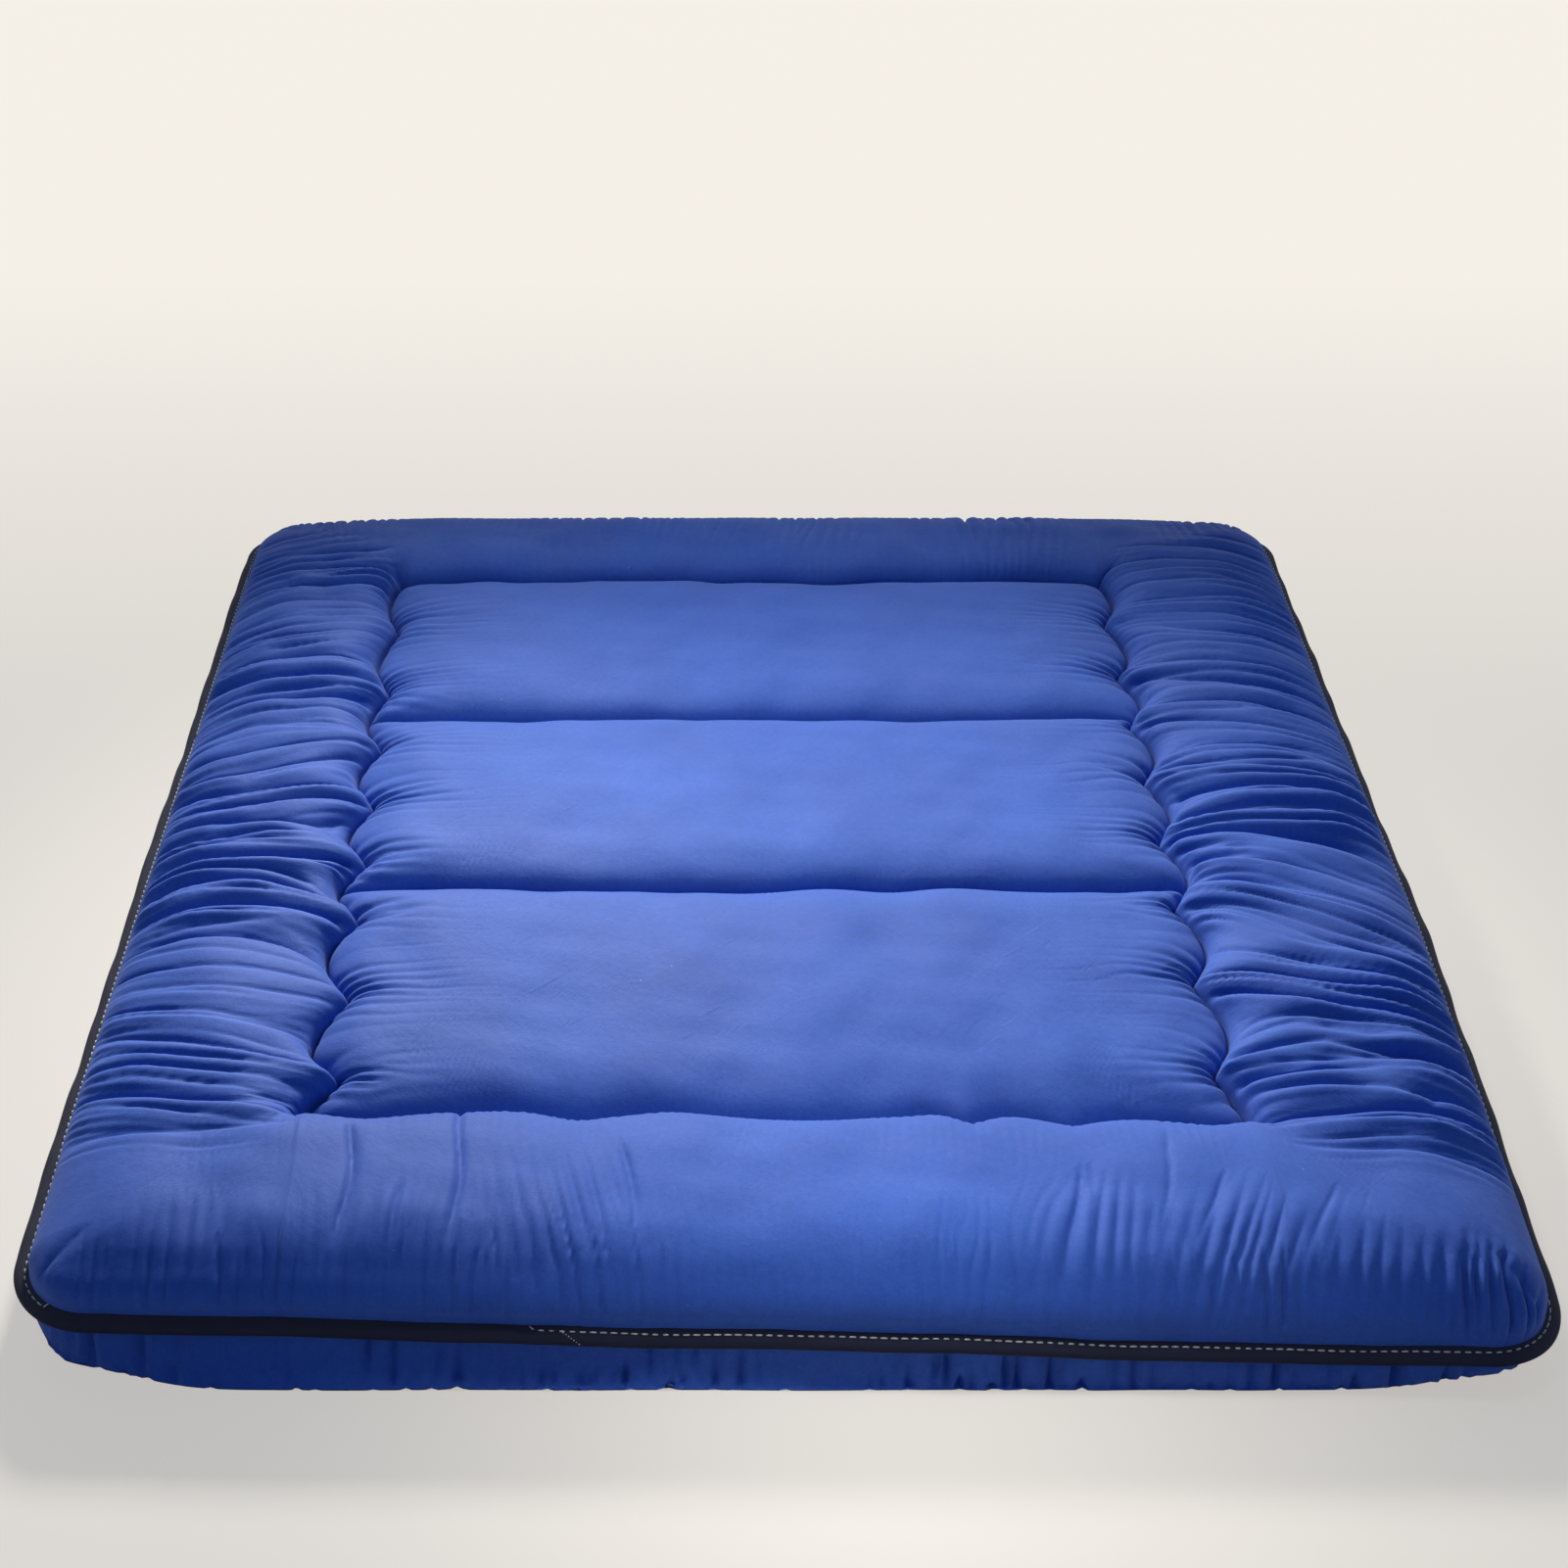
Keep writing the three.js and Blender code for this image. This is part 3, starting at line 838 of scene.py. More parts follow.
    def underside(self, x: Array, y: Array) -> Array:
        """The folds of the bottom cover's skirt.

        Args:
            x, y: places on the rectangle.

        Returns:
            Heights in metres.
        """
        side, foot, head = self.quilting.distances(x, y)
        inward = self.quilting.inward(x, y)
        t = np.clip(inward / self.quilting.skirt_radius, 0, 3)
        run = np.where(side < np.minimum(foot, head), y + np.sign(x), x + 3 * np.sign(y))
        strength = self.fullness.share(x + 1, y, 0.8, 0.6, (0.2, 1.8))
        folds = self.skirt_folds.height(run + 0.06 * inward * self.lean.value(x, y), inward)
        notches = window((0.30, 0.95), (1.05, 1.6), t)
        notches = notches * np.maximum(-self.hem_folds.height(run + 2, inward) - 1.0, 0)
        folded = window((0, 0.12), (0.6, 1.05), t) * strength
        folded = folded * (0.6 * folds - 2.2 * np.maximum(-folds - 0.8, 0))
        return self.skirt_mm * MILLI * folded - self.notch_mm * MILLI * notches


# --- Cloth: laid over its filling and let go ---


@dataclass(frozen=True)
class Settling:
    """How a sheet of cloth settles on its filling."""

    passes: int = 70
    pressure: float = 0.03 * MILLI
    hold: float = 0.012
    smoothing: float = 0.022
    shear: float = 0.25
    spare: float = 0.015
    damping: float = 0.85
    kept_bend: float = 0.8
    headroom: Span = (4 * MILLI, 8 * MILLI)


@dataclass
class ClothSheet:
    """One cover of the mattress as a grid of points, from its seams to its folds.

    The grid is finer over a run beside every seam, by the edge_share there or by the line_share
    beside the side quilting lines.
    """

    quilting: Quilting
    gathers: Gathers
    face: Face
    settling: Settling
    row_step: float = 0.0037
    column_step: float = 0.0042
    hem: float = 0.006
    edge_run: float = 0.03
    line_run: float = 0.020
    line_share: float = 0.6
    edge_share: float = 0.7

    def __post_init__(self) -> None:
        """Lays the grid out and shapes the cloth."""
        self.columns = self.lay_columns()
        self.rows = self.lay_rows()
        self.x, self.y = np.meshgrid(self.columns, self.rows)
        self.form = self.smooth_form()
        self.folded = self.form + self.surface_normals(self.form) * self.fold_heights()[..., None]
        self.points = self.settle()
        self.normals = self.surface_normals(self.points)
        self.flat_map = self.lay_flat()

    # The grid.

    @property
    def snap(self) -> float:
        """How near a row or column has to be to a line to lie on it."""
        return 0.1 * self.row_step

    def lay_columns(self) -> Array:
        """The columns, close together at the side seams.

        Returns:
            Their places from left to right.
        """
        lay, step = self.quilting.layout, self.column_step
        near, line, inset = self.line_run, lay.side_bolster, lay.seam_inset
        fine, edge = self.line_share * step, self.edge_run
        inner = stations(
            (inset - self.hem, inset, self.hem),
            (inset, inset + edge, fine),
            (inset + edge, line - near, step),
            (line - near, line, fine),
            (line, line + near, fine),
            (line + near, lay.half_width, step),
        )
        return np.concatenate([inner - lay.half_width, lay.half_width - inner[-2::-1]])

    def lay_rows(self) -> Array:
        """The rows, close together at the seams that cross the mattress.

        Returns:
            Their places from foot to head.
        """
        lay, step = self.quilting.layout, self.row_step
        near, fine, edge = self.line_run, self.edge_share * step, self.edge_run
        foot, head = lay.foot_edge + lay.seam_inset, lay.head_edge - lay.seam_inset
        stretches = [
            (foot - self.hem, foot, self.hem),
            (foot, foot + edge, fine),
            (foot + edge, lay.foot_seam - near, step),
        ]
        ends = [*lay.lines[1:], head - edge + near]
        for line, end in zip(lay.lines, ends):
            stretches += [(line - near, line, fine), (line, line + near, fine)]
            middle = [lay.near_middle] if line == lay.foot_seam else []
            start = line + near
            for stop in [*middle, end - near]:
                stretches.append((start, stop, step))
                start = stop
        return stations(*stretches, (head - edge, head, fine), (head, head + self.hem, self.hem))

    def held(self) -> Array:
        """True where a seam or the binding holds the cloth.

        Returns:
            A flag for each point of the grid.
        """
        lay, snap = self.quilting.layout, self.snap
        side, _, _ = self.quilting.distances(self.x, self.y)
        edge = self.quilting.inward(self.x, self.y) <= snap
        in_length = (self.y > lay.foot_seam - snap) & (self.y < lay.head_seam + snap)
        found = edge | ((np.abs(side - lay.side_bolster) < snap) & in_length)
        for line in lay.lines:
            found |= (np.abs(self.y - line) < snap) & (side > lay.side_bolster - snap)
        return found

    # The form and its settling.

    def smooth_form(self) -> Array:
        """The cloth before it gathers, drawn smooth over its filling.

        Returns:
            The points of the grid in space.
        """
        top = self.face is Face.TOP
        inward = self.quilting.inward(self.x, self.y)
        on_floor = smooth_step(0, 1, inward / self.quilting.skirt_radius)
        px, py = self.quilting.plan(self.x, self.y, 1.0 if top else 1.0 - on_floor)
        height = self.quilting.top_height if top else self.quilting.underside_height
        z = height(self.x, self.y)
        if top:
            inner = smooth_step(0.0, 0.10, inward) * smooth_step(0, 0.05, z - self.quilting.layout.stitch)
            broad, close = Drift(31, 0.20).value(self.x, self.y), Drift(33, 0.085).value(self.x, self.y)
            z = z + MILLI * (1.6 * broad + 0.6 * close) * inner
        swell = self.quilting.belly(self.face, self.x, self.y)
        ox, oy = self.quilting.outward_way(self.x, self.y)
        return np.stack([px + ox * swell, py + oy * swell, z], axis=2)

    def fold_heights(self) -> Array:
        """The height of the gathers, 0 where the cloth is held."""
        gathers = self.gathers.top if self.face is Face.TOP else self.gathers.underside
        return gathers(self.x, self.y) * (1.0 - self.held())

    def surface_normals(self, points: Array) -> Array:
        """Unit normals of the grid, out of the mattress."""
        normals = np.cross(np.gradient(points, axis=1), np.gradient(points, axis=0))
        return unit(-normals if self.face is Face.UNDERSIDE else normals)

    def settle(self) -> Array:
        """Lets the cloth find its rest between its seams.

        Returns:
            The settled points.
        """
        rest, settling = self.folded, self.settling
        free = (~self.held()).astype(float)[..., None]
        points = rest.copy()
        grid = SpringGrid(rest, free, settling)
        speed = np.zeros_like(points)
        for _ in range(settling.passes):
            before = points.copy()
            push = self.surface_normals(points) * settling.pressure
            points = points + free * (push + settling.damping * speed + settling.hold * (rest - points))
            grid.pull(points)
            grid.soften(points)
            points[..., 2] = np.minimum(points[..., 2], self.ceiling(points[..., 2]))
            if self.face is Face.UNDERSIDE:
                points[..., 2] = np.maximum(points[..., 2], 0.0)
            speed = points - before
        return points

    def ceiling(self, height: Array) -> Array:
        """The height at which the loft of the filling is spent, approached gently."""
        over, spare = self.settling.headroom
        full = self.quilting.layout.crest + over
        return full + spare * np.tanh((height - full) / spare)

    def tightest(self, x: Array, y: Array, reach: float) -> Array:
        """How near the filling the cloth comes around each place.

        Args:
            x: places across the plain rectangle.
            y: places along it.
            reach: how far around each place to look.

        Returns:
            The lowest height of the top cover there, or the highest of the bottom cover.
        """
        pick = np.min if self.face is Face.TOP else np.max
        height = self.points[..., 2]
        found = np.empty(x.shape)
        for place in np.ndindex(x.shape):
            rows = slice(*np.searchsorted(self.rows, (y[place] - reach, y[place] + reach)))
            columns = slice(*np.searchsorted(self.columns, (x[place] - reach, x[place] + reach)))
            found[place] = pick(height[rows, columns])
        return found

    def lay_flat(self) -> Array:
        """Each point's place on the flat cloth, in metres, measured along rows and columns."""
        across = np.linalg.norm(np.diff(self.form, axis=1), axis=2)
        along = np.linalg.norm(np.diff(self.form, axis=0), axis=2)
        u = np.concatenate([np.zeros((len(across), 1)), np.cumsum(across, axis=1)], axis=1)
        v = np.concatenate([np.zeros((1, along.shape[1])), np.cumsum(along, axis=0)], axis=0)
        u -= u[:, [u.shape[1] // 2]]
        v -= v[[v.shape[0] // 2], :]
        return np.stack([u, v], axis=2)


@dataclass
class SpringGrid:
    """The threads of a grid of cloth: along it, across it and on both diagonals."""

    rest: Array
    free: Array
    settling: Settling
    links: list[tuple[Slices, Slices, Array, float]] = field(default_factory=list)

    def __post_init__(self) -> None:
        """Measures each thread's own length from the cloth as it was laid."""
        every = slice(None)
        rows, columns = self.rest.shape[:2]
        grow, shear = 1 + self.settling.spare, self.settling.shear
        for parity in (0, 1):
            left, right = slice(parity, columns - 1, 2), slice(parity + 1, columns, 2)
            self.tie((every, left), (every, right), grow, 1.0)
            low, high = slice(parity, rows - 1, 2), slice(parity + 1, rows, 2)
            self.tie((low, every), (high, every), grow, 1.0)
            left, right = slice(0, columns - 1), slice(1, columns)
            self.tie((low, left), (high, right), grow, shear)
            self.tie((low, right), (high, left), grow, shear)

    def tie(self, first: Slices, second: Slices, grow: float, stiffness: float) -> None:
        """Adds one family of threads."""
        length = grow * np.linalg.norm(self.rest[second] - self.rest[first], axis=2)
        self.links.append((first, second, length, stiffness))

    def pull(self, points: Array) -> None:
        """Brings every thread towards its own length, in place.

        Args:
            points: the points of the cloth.
        """
        for first, second, length, stiffness in self.links:
            gap = points[second] - points[first]
            now = np.sqrt(np.einsum("ijk,ijk->ij", gap, gap))
            weight = self.free[first][..., 0] + self.free[second][..., 0]
            share = stiffness * (1 - length / np.maximum(now, 1e-9)) / np.maximum(weight, 1.0)
            gap *= share[..., None]
            points[first] += gap * self.free[first]
            points[second] -= gap * self.free[second]

    def soften(self, points: Array) -> None:
        """The cloth's own stiffness: every point leans towards the middle of its neighbours."""
        bend = self.bending(points) - self.settling.kept_bend * self.bending(self.rest)
        points[1:-1, 1:-1] += self.settling.smoothing * bend * self.free[1:-1, 1:-1]

    def bending(self, grid: Array) -> Array:
        """The way from each point inside the border to the middle of its four neighbours."""
        middle = (grid[:-2, 1:-1] + grid[2:, 1:-1] + grid[1:-1, :-2] + grid[1:-1, 2:]) / 4
        return middle - grid[1:-1, 1:-1]


# --- Lengths: what bends across one fold line ---


@dataclass(frozen=True)
class Length:
    """One length of the mattress, which bends across one fold line."""

    name: str
    near_body: str
    far_body: str
    start: float
    end: float
    bend_from: float
    bend_to: float
    parts: tuple[str, str]

    def bend(self, piece: Object) -> None:
        """Bakes the piece's placement into its mesh."""
        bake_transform(piece)

    @property
    def inner_parts(self) -> list[str]:
        """Its parts that lie between the foot line and the head line."""
        return [part for part in self.parts if part not in ("foot", "head")]

    def quilted(self, layout: Layout) -> Span:
        """Where it runs between the foot line and the head line."""
        return max(self.start, layout.foot_seam), min(self.end, layout.head_seam)


def mattress_lengths(layout: Layout) -> list[Length]:
    """The three lengths, from foot to head, with how far each bends before and after its fold line.

    Args:
        layout: the lines of the mattress.

    Returns:
        The lengths.
    """
    cuts = (layout.foot_edge, layout.near_middle, layout.cross_b, layout.head_edge)
    table = (
        ("foot", ("foot_end", "near_panel"), layout.foot_seam, (0.085, 0.150), ("foot", "near")),
        ("mid", ("near_panel", "middle"), layout.cross_a, (0.235, 0.235), ("near", "middle")),
        ("far", ("middle", "head_end"), layout.head_seam, (0.150, 0.150), ("middle", "head")),
    )
    return [
        Length(name, *bodies, start, end, seam - before, seam + after, parts)
        for (name, bodies, seam, (before, after), parts), start, end in zip(table, cuts, cuts[1:])
    ]


@dataclass
class Piece:
    """Makes a mesh piece and hides the frame's nodes that it stands for."""

    name: str
    material: Material
    slot: str
    stands_for: list[str]

    def dress(self, mesh: Mesh, length: Length, fill: float | None = None) -> Object:
        """Links the mesh, gives it its finish, bakes its placement into it and hides the nodes it stands for.

        Args:
            mesh: the finished mesh.
            length: the length of the mattress that it belongs to.
            fill: how full a padded piece is, or None for one that is not padded. It is not used.

        Returns:
            The new object.
        """
        piece = bpy.data.objects.new(self.name, mesh)
        bpy.context.scene.collection.objects.link(piece)
        mesh.materials.append(self.material)
        length.bend(piece)
        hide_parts(*self.stands_for)
        log.info("%s: %d faces", self.name, len(mesh.polygons))
        return piece


def quad_mesh(name: str, points: Array, quads: Array, normals: Array | None = None) -> Mesh:
    """A smooth mesh of quads, with given vertex normals where there are any.

    Args:
        name: its name.
        points: its points.
        quads: four point numbers for each face.
        normals: a normal for each point, or None for the faces' own.

    Returns:
        The mesh.
    """
    mesh = bpy.data.meshes.new(name)
    mesh.vertices.add(len(points))
    mesh.vertices.foreach_set("co", points.reshape(-1).astype(np.float32))
    mesh.loops.add(quads.size)
    mesh.loops.foreach_set("vertex_index", quads.reshape(-1).astype(np.int32))
    mesh.polygons.add(len(quads))
    mesh.polygons.foreach_set("loop_start", np.arange(0, quads.size, 4, dtype=np.int32))
    mesh.update(calc_edges=True)
    mesh.shade_smooth()
    if normals is not None:
        mesh.normals_split_custom_set_from_vertices(normals.reshape(-1, 3).tolist())
    return mesh


def grid_quads(rows: int, columns: int, flip: bool = False, round_rows: bool = False) -> Array:
    """The faces of a grid of points."""
    index = np.arange(rows * columns).reshape(rows, columns)
    if round_rows:
        index = np.concatenate([index, index[:, :1]], axis=1)
    corner = [index[:-1, :-1], index[:-1, 1:], index[1:, 1:], index[1:, :-1]]
    if flip:
        corner = corner[::-1]
    return np.stack(corner, axis=2).reshape(-1, 4)


def add_map(mesh: Mesh, name: str, places: Array) -> None:
    """Adds a UV map from one place for each vertex."""
    loops = np.empty(len(mesh.loops), np.int32)
    mesh.loops.foreach_get("vertex_index", loops)
    layer = mesh.uv_layers.new(name=name, do_init=False)
    layer.uv.foreach_set("vector", places.reshape(-1, 2)[loops].astype(np.float32).reshape(-1))


# --- Materials ---

FLOAT, VECTOR = "NodeSocketFloat", "NodeSocketVector"
CLOTH_MAP = "Cloth"


@dataclass
class Graph:
    """A node tree that is wired by short calls."""

    tree: NodeTree

    def add(self, kind: str, **inputs: object) -> Node:
        """Adds a node and sets or links its inputs.

        Args:
            kind: the node's type, such as ShaderNodeMath.
            inputs: values or sockets by input name, with _ for a space, or i and a number for an
                input by its place; a name that starts with set_ is a property of the node itself.

        Returns:
            The new node.
        """
        node = self.tree.nodes.new(kind)
        for key, value in inputs.items():
            if key.startswith("set_"):
                setattr(node, key.removeprefix("set_"), value)
        for key, value in inputs.items():
            if not key.startswith("set_"):
                self.feed(node.inputs[int(key[1:]) if key[1:].isdigit() else key.replace("_", " ")], value)
        return node

    def feed(self, socket: Socket, value: object) -> None:
        """Links a socket's value from another socket, or sets it."""
        if isinstance(value, Socket):
            self.tree.links.new(value, socket)
        else:
            socket.default_value = value

    def math(self, operation: str, a: object, b: object = 0.0, c: object = 0.0) -> Socket:
        """The result of one Math node."""
        return self.add("ShaderNodeMath", set_operation=operation, i0=a, i1=b, i2=c).outputs[0]

    def total(self, start: object, *terms: tuple[Socket, float]) -> Socket:
        """A start value plus each term's value times its gain."""
        for value, gain in terms:
            start = self.math("MULTIPLY_ADD", value, gain, start)
        return start

    def ramp(self, value: Socket, source: Span, target: Span) -> Socket:
        """The value stretched from the source's range to the target's, and held there."""
        ends = {f"i{place}": end for place, end in enumerate((*source, *target), start=1)}
        return self.add("ShaderNodeMapRange", i0=value, **ends).outputs[0]

    def noise(
        self, vector: Socket, scale: object, detail: float, rough: float = 0.5, warp: float = 0.0
    ) -> Socket:
        """A noise value from 0 to 1 over that vector."""
        grain = {"Scale": scale, "Detail": detail, "Roughness": rough, "Distortion": warp}
        return self.add("ShaderNodeTexNoise", Vector=vector, **grain).outputs["Fac"]

    def stretched(self, vector: Socket, x: float, y: float, z: float) -> Socket:
        """The vector stretched along its axes."""
        node = self.add("ShaderNodeVectorMath", set_operation="MULTIPLY", i0=vector, i1=(x, y, z))
        return node.outputs[0]

    def tint(self, share: Socket, low: Socket | Colour, high: Socket | Colour) -> Socket:
        """A colour between two others, each given as a socket or as a display colour."""
        low, high = (end if isinstance(end, Socket) else linear(*end) for end in (low, high))
        return self.add("ShaderNodeMix", set_data_type="RGBA", i0=share, i6=low, i7=high).outputs[2]

    def bumps(self, *layers: tuple[Socket, float, float]) -> Socket:
        """A normal that follows several heights.

        Args:
            layers: the height, the distance in metres that it stands for and the strength of each.

        Returns:
            The normal with every layer over the one before.
        """
        under = {}
        for height, distance, strength in layers:
            node = self.add("ShaderNodeBump", Strength=strength, Distance=distance, Height=height, **under)
            under = {"Normal": node.outputs[0]}
        return under["Normal"]


def linear(red: int, green: int, blue: int) -> tuple[float, float, float, float]:
    """A display colour, from 0 to 255 a channel, as the linear colour that a shader takes."""
    channels = [c / 255 for c in (red, green, blue)]
    return (*[c / 12.92 if c <= 0.04045 else ((c + 0.055) / 1.055) ** 2.4 for c in channels], 1.0)


def darker(colour: Colour, share: float) -> Colour:
    """A display colour brought down to a share of itself."""
    return tuple(int(share * c) for c in colour)


class Effects:
    """The shader effects that several finishes share, each built once as a node group."""

    def __init__(self) -> None:
        """Builds the groups."""
        self.weave = self.build_weave()
        self.nap = self.build_nap()
        self.lint = self.build_lint()

    def group(self, name: str, sizes: dict[str, float], outputs: list[str]) -> tuple[Graph, Node]:
        """Starts a node group with a Vector input and a named input for each size.

        Args:
            name: the group's name.
            sizes: the default of each size by its label.
            outputs: labels of its outputs.

        Returns:
            The group's graph and its input node.
        """
        tree = bpy.data.node_groups.new(name, "ShaderNodeTree")
        tree.interface.new_socket("Vector", in_out="INPUT", socket_type=VECTOR)
        for label, size in sizes.items():
            tree.interface.new_socket(label, in_out="INPUT", socket_type=FLOAT).default_value = size
        for label in outputs:
            tree.interface.new_socket(label, in_out="OUTPUT", socket_type=FLOAT)
        graph = Graph(tree)
        return graph, graph.add("NodeGroupInput")

    def build_weave(self) -> NodeTree:
        """Crossing threads at a given pitch, slanted for twill.

        Returns:
            The group.
        """
        graph, entry = self.group("Woven threads", {"Threads per metre": 900.0, "Slant": 0.0}, ["Height"])
        drift = graph.math("MULTIPLY", graph.noise(entry.outputs["Vector"], 40.0, 2.0), 9.0)
        split = graph.add("ShaderNodeSeparateXYZ", Vector=entry.outputs["Vector"])
        turns = graph.math("MULTIPLY", entry.outputs["Threads per metre"], TURN)
        slanted = graph.math("MULTIPLY_ADD", split.outputs["Y"], entry.outputs["Slant"], split.outputs["X"])
        warp = graph.math("SINE", graph.math("MULTIPLY_ADD", slanted, turns, drift))
        rise = graph.math("ADD", split.outputs["Y"], split.outputs["Z"])
        weft = graph.math("SINE", graph.math("MULTIPLY_ADD", rise, turns, drift))
        both = graph.math("ADD", warp, weft)
        graph.add("NodeGroupOutput", Height=graph.math("MULTIPLY_ADD", both, 0.25, 0.5))
        return graph.tree

    def build_nap(self) -> NodeTree:
        """Brushed nap: slow patches where the pile lies another way, and fine fibres.

        Returns:
            The group.
        """
        sizes = {"Patch size": 0.25, "Fibre size": 0.003}
        graph, entry = self.group("Brushed nap", sizes, ["Patches", "Fibres"])
        vector = entry.outputs["Vector"]
        patch_scale = graph.math("DIVIDE", 1.0, entry.outputs["Patch size"])
        patches = graph.noise(vector, patch_scale, 3.0, 0.55, 0.6)
        fibre_scale = graph.math("DIVIDE", 1.0, entry.outputs["Fibre size"])
        graph.add("NodeGroupOutput", Patches=patches, Fibres=graph.noise(vector, fibre_scale, 3.0, 0.7))
        return graph.tree

    def build_lint(self) -> NodeTree:
        """Sparse specks of lint.

        Returns:
            The group.
        """
        graph, entry = self.group("Lint specks", {"Spacing": 0.045, "Speck size": 0.0012}, ["Mask"])
        scale = graph.math("DIVIDE", 1.0, entry.outputs["Spacing"])
        cells = graph.add("ShaderNodeTexVoronoi", Vector=entry.outputs["Vector"], Scale=scale)
        reach = graph.math("MULTIPLY", cells.outputs["Distance"], entry.outputs["Spacing"])
        tint = graph.add("ShaderNodeSeparateColor", Color=cells.outputs["Color"])
        size = graph.math("MULTIPLY", entry.outputs["Speck size"], tint.outputs[0])
        near = graph.math("LESS_THAN", reach, size)
        chosen = graph.math("GREATER_THAN", tint.outputs[1], 0.5)
        graph.add("NodeGroupOutput", Mask=graph.math("MULTIPLY", near, chosen))
        return graph.tree


class Finish:
    """A material with a Principled shader, ready to be wired."""

    def __init__(self, name: str, mapped: bool = False) -> None:
        """Starts the material.

        Args:
            name: its name.
            mapped: True where patterns follow the cloth's own map, and False for plain space.
        """
        self.material = bpy.data.materials.new(name)
        self.material.use_nodes = True
        self.material.node_tree.nodes.clear()
        self.graph = Graph(self.material.node_tree)
        self.shader = self.graph.add("ShaderNodeBsdfPrincipled")
        self.graph.add("ShaderNodeOutputMaterial", Surface=self.shader.outputs[0])
        if mapped:
            self.place = self.graph.add("ShaderNodeUVMap", set_uv_map=CLOTH_MAP).outputs[0]
        else:
            self.place = self.graph.add("ShaderNodeTexCoord").outputs["Object"]

    def effect(self, group: NodeTree, **inputs: object) -> Node:
        """Places a shared effect with its own values."""
        return self.graph.add("ShaderNodeGroup", set_node_tree=group, Vector=self.place, **inputs)

    def set(self, **values: object) -> None:
        """Sets or links the shader's own sockets."""
        for key, value in values.items():
            self.graph.feed(self.shader.inputs[key.replace("_", " ")], value)


@dataclass(frozen=True)
class Microfibre:
    """Royal-blue brushed microfibre: matte, with a short nap, a soft sheen and faint lint."""

    name: str = "Brushed microfibre"
    deep: Colour = (17, 66, 160)
    bright: Colour = (38, 90, 190)
    lint: Colour = (178, 190, 226)
    gloss: Colour = (196, 208, 240)
    bloom: Colour = (205, 214, 238)
    sheen: float = 0.20

    def build(self, effects: Effects) -> Material:
        """Makes the material.

        Args:
            effects: the shared effects.

        Returns:
            The material.
        """
        finish = Finish(self.name, mapped=True)
        graph = finish.graph
        nap = finish.effect(effects.nap)
        weave = finish.effect(effects.weave, Threads_per_metre=560.0)
        lint = finish.effect(effects.lint)
        patches, fibres, threads = nap.outputs["Patches"], nap.outputs["Fibres"], weave.outputs["Height"]
        slubs = graph.noise(graph.stretched(finish.place, 30.0, 900.0, 1.0), 1.0, 2.0)
        brushed = graph.noise(finish.place, 95.0, 3.0, 0.65, 0.8)
        crumple = graph.noise(finish.place, 60.0, 4.0, 0.55)
        terms = ((patches, 1.3), (brushed, 1.0), (fibres, 0.95), (slubs, 0.16), (threads, 0.05))
        colour = graph.tint(graph.total(-1.16, *terms), self.deep, self.bright)
        relief = (
            (crumple, 0.0016, 0.5), (brushed, 0.0006, 0.5), (fibres, 0.0006, 0.5), (threads, 0.0002, 0.3),
        )
        finish.set(
            Base_Color=graph.tint(graph.math("MULTIPLY", lint.outputs["Mask"], 0.45), colour, self.lint),
            Roughness=graph.total(0.60, (patches, 0.08)),
            Specular_IOR_Level=0.31,
            Specular_Tint=linear(*self.gloss),
            Sheen_Weight=self.sheen,
            Sheen_Roughness=0.80,
            Sheen_Tint=linear(*self.bloom),
            Normal=graph.bumps(*relief),
        )
        return finish.material


@dataclass(frozen=True)
class Twill:
    """Dark navy twill tape."""

    name: str = "Navy twill tape"
    deep: Colour = (12, 15, 34)
    bright: Colour = (22, 27, 54)

    def build(self, effects: Effects) -> Material:
        """Makes the material.

        Args:
            effects: the shared effects.

        Returns:
            The material.
        """
        finish = Finish(self.name, mapped=True)
        graph = finish.graph
        weave = finish.effect(effects.weave, Threads_per_metre=520.0, Slant=1.0)
        nap = finish.effect(effects.nap, Patch_size=0.05, Fibre_size=0.002)
        tone = graph.total(-0.15, (nap.outputs["Patches"], 0.7), (weave.outputs["Height"], 0.45))
        finish.set(
            Base_Color=graph.tint(tone, self.deep, self.bright),
            Roughness=graph.total(0.66, (nap.outputs["Fibres"], 0.15)),
            Specular_IOR_Level=0.20,
            Sheen_Weight=0.05,
            Normal=graph.bumps((weave.outputs["Height"], 0.0005, 0.6)),
        )
        return finish.material


@dataclass(frozen=True)
class Thread:
    """Twisted polyester sewing thread."""

    name: str
    colour: Colour
    specular: float = 0.5
    # valley: share of the colour left in the grooves of the twist, as painted shade
    valley: float = 0.6

    def build(self, effects: Effects) -> Material:
        """Makes the material.

        Args:
            effects: the shared effects.

        Returns:
            The material.
        """
        finish = Finish(self.name)
        graph = finish.graph
        twist = finish.effect(effects.weave, Threads_per_metre=700.0, Slant=1.0).outputs["Height"]
        # Painted shade: the colour falls to the valley share where the twist is low, the same heights that
        # give the bump
        shade = graph.total(0.4, (twist, 0.6))
        finish.set(
            Base_Color=graph.tint(shade, darker(self.colour, self.valley), self.colour),
            Roughness=graph.total(0.45, (twist, 0.2)),
            Specular_IOR_Level=self.specular,
            Normal=graph.bumps((twist, 0.0003, 0.5)),
        )
        return finish.material


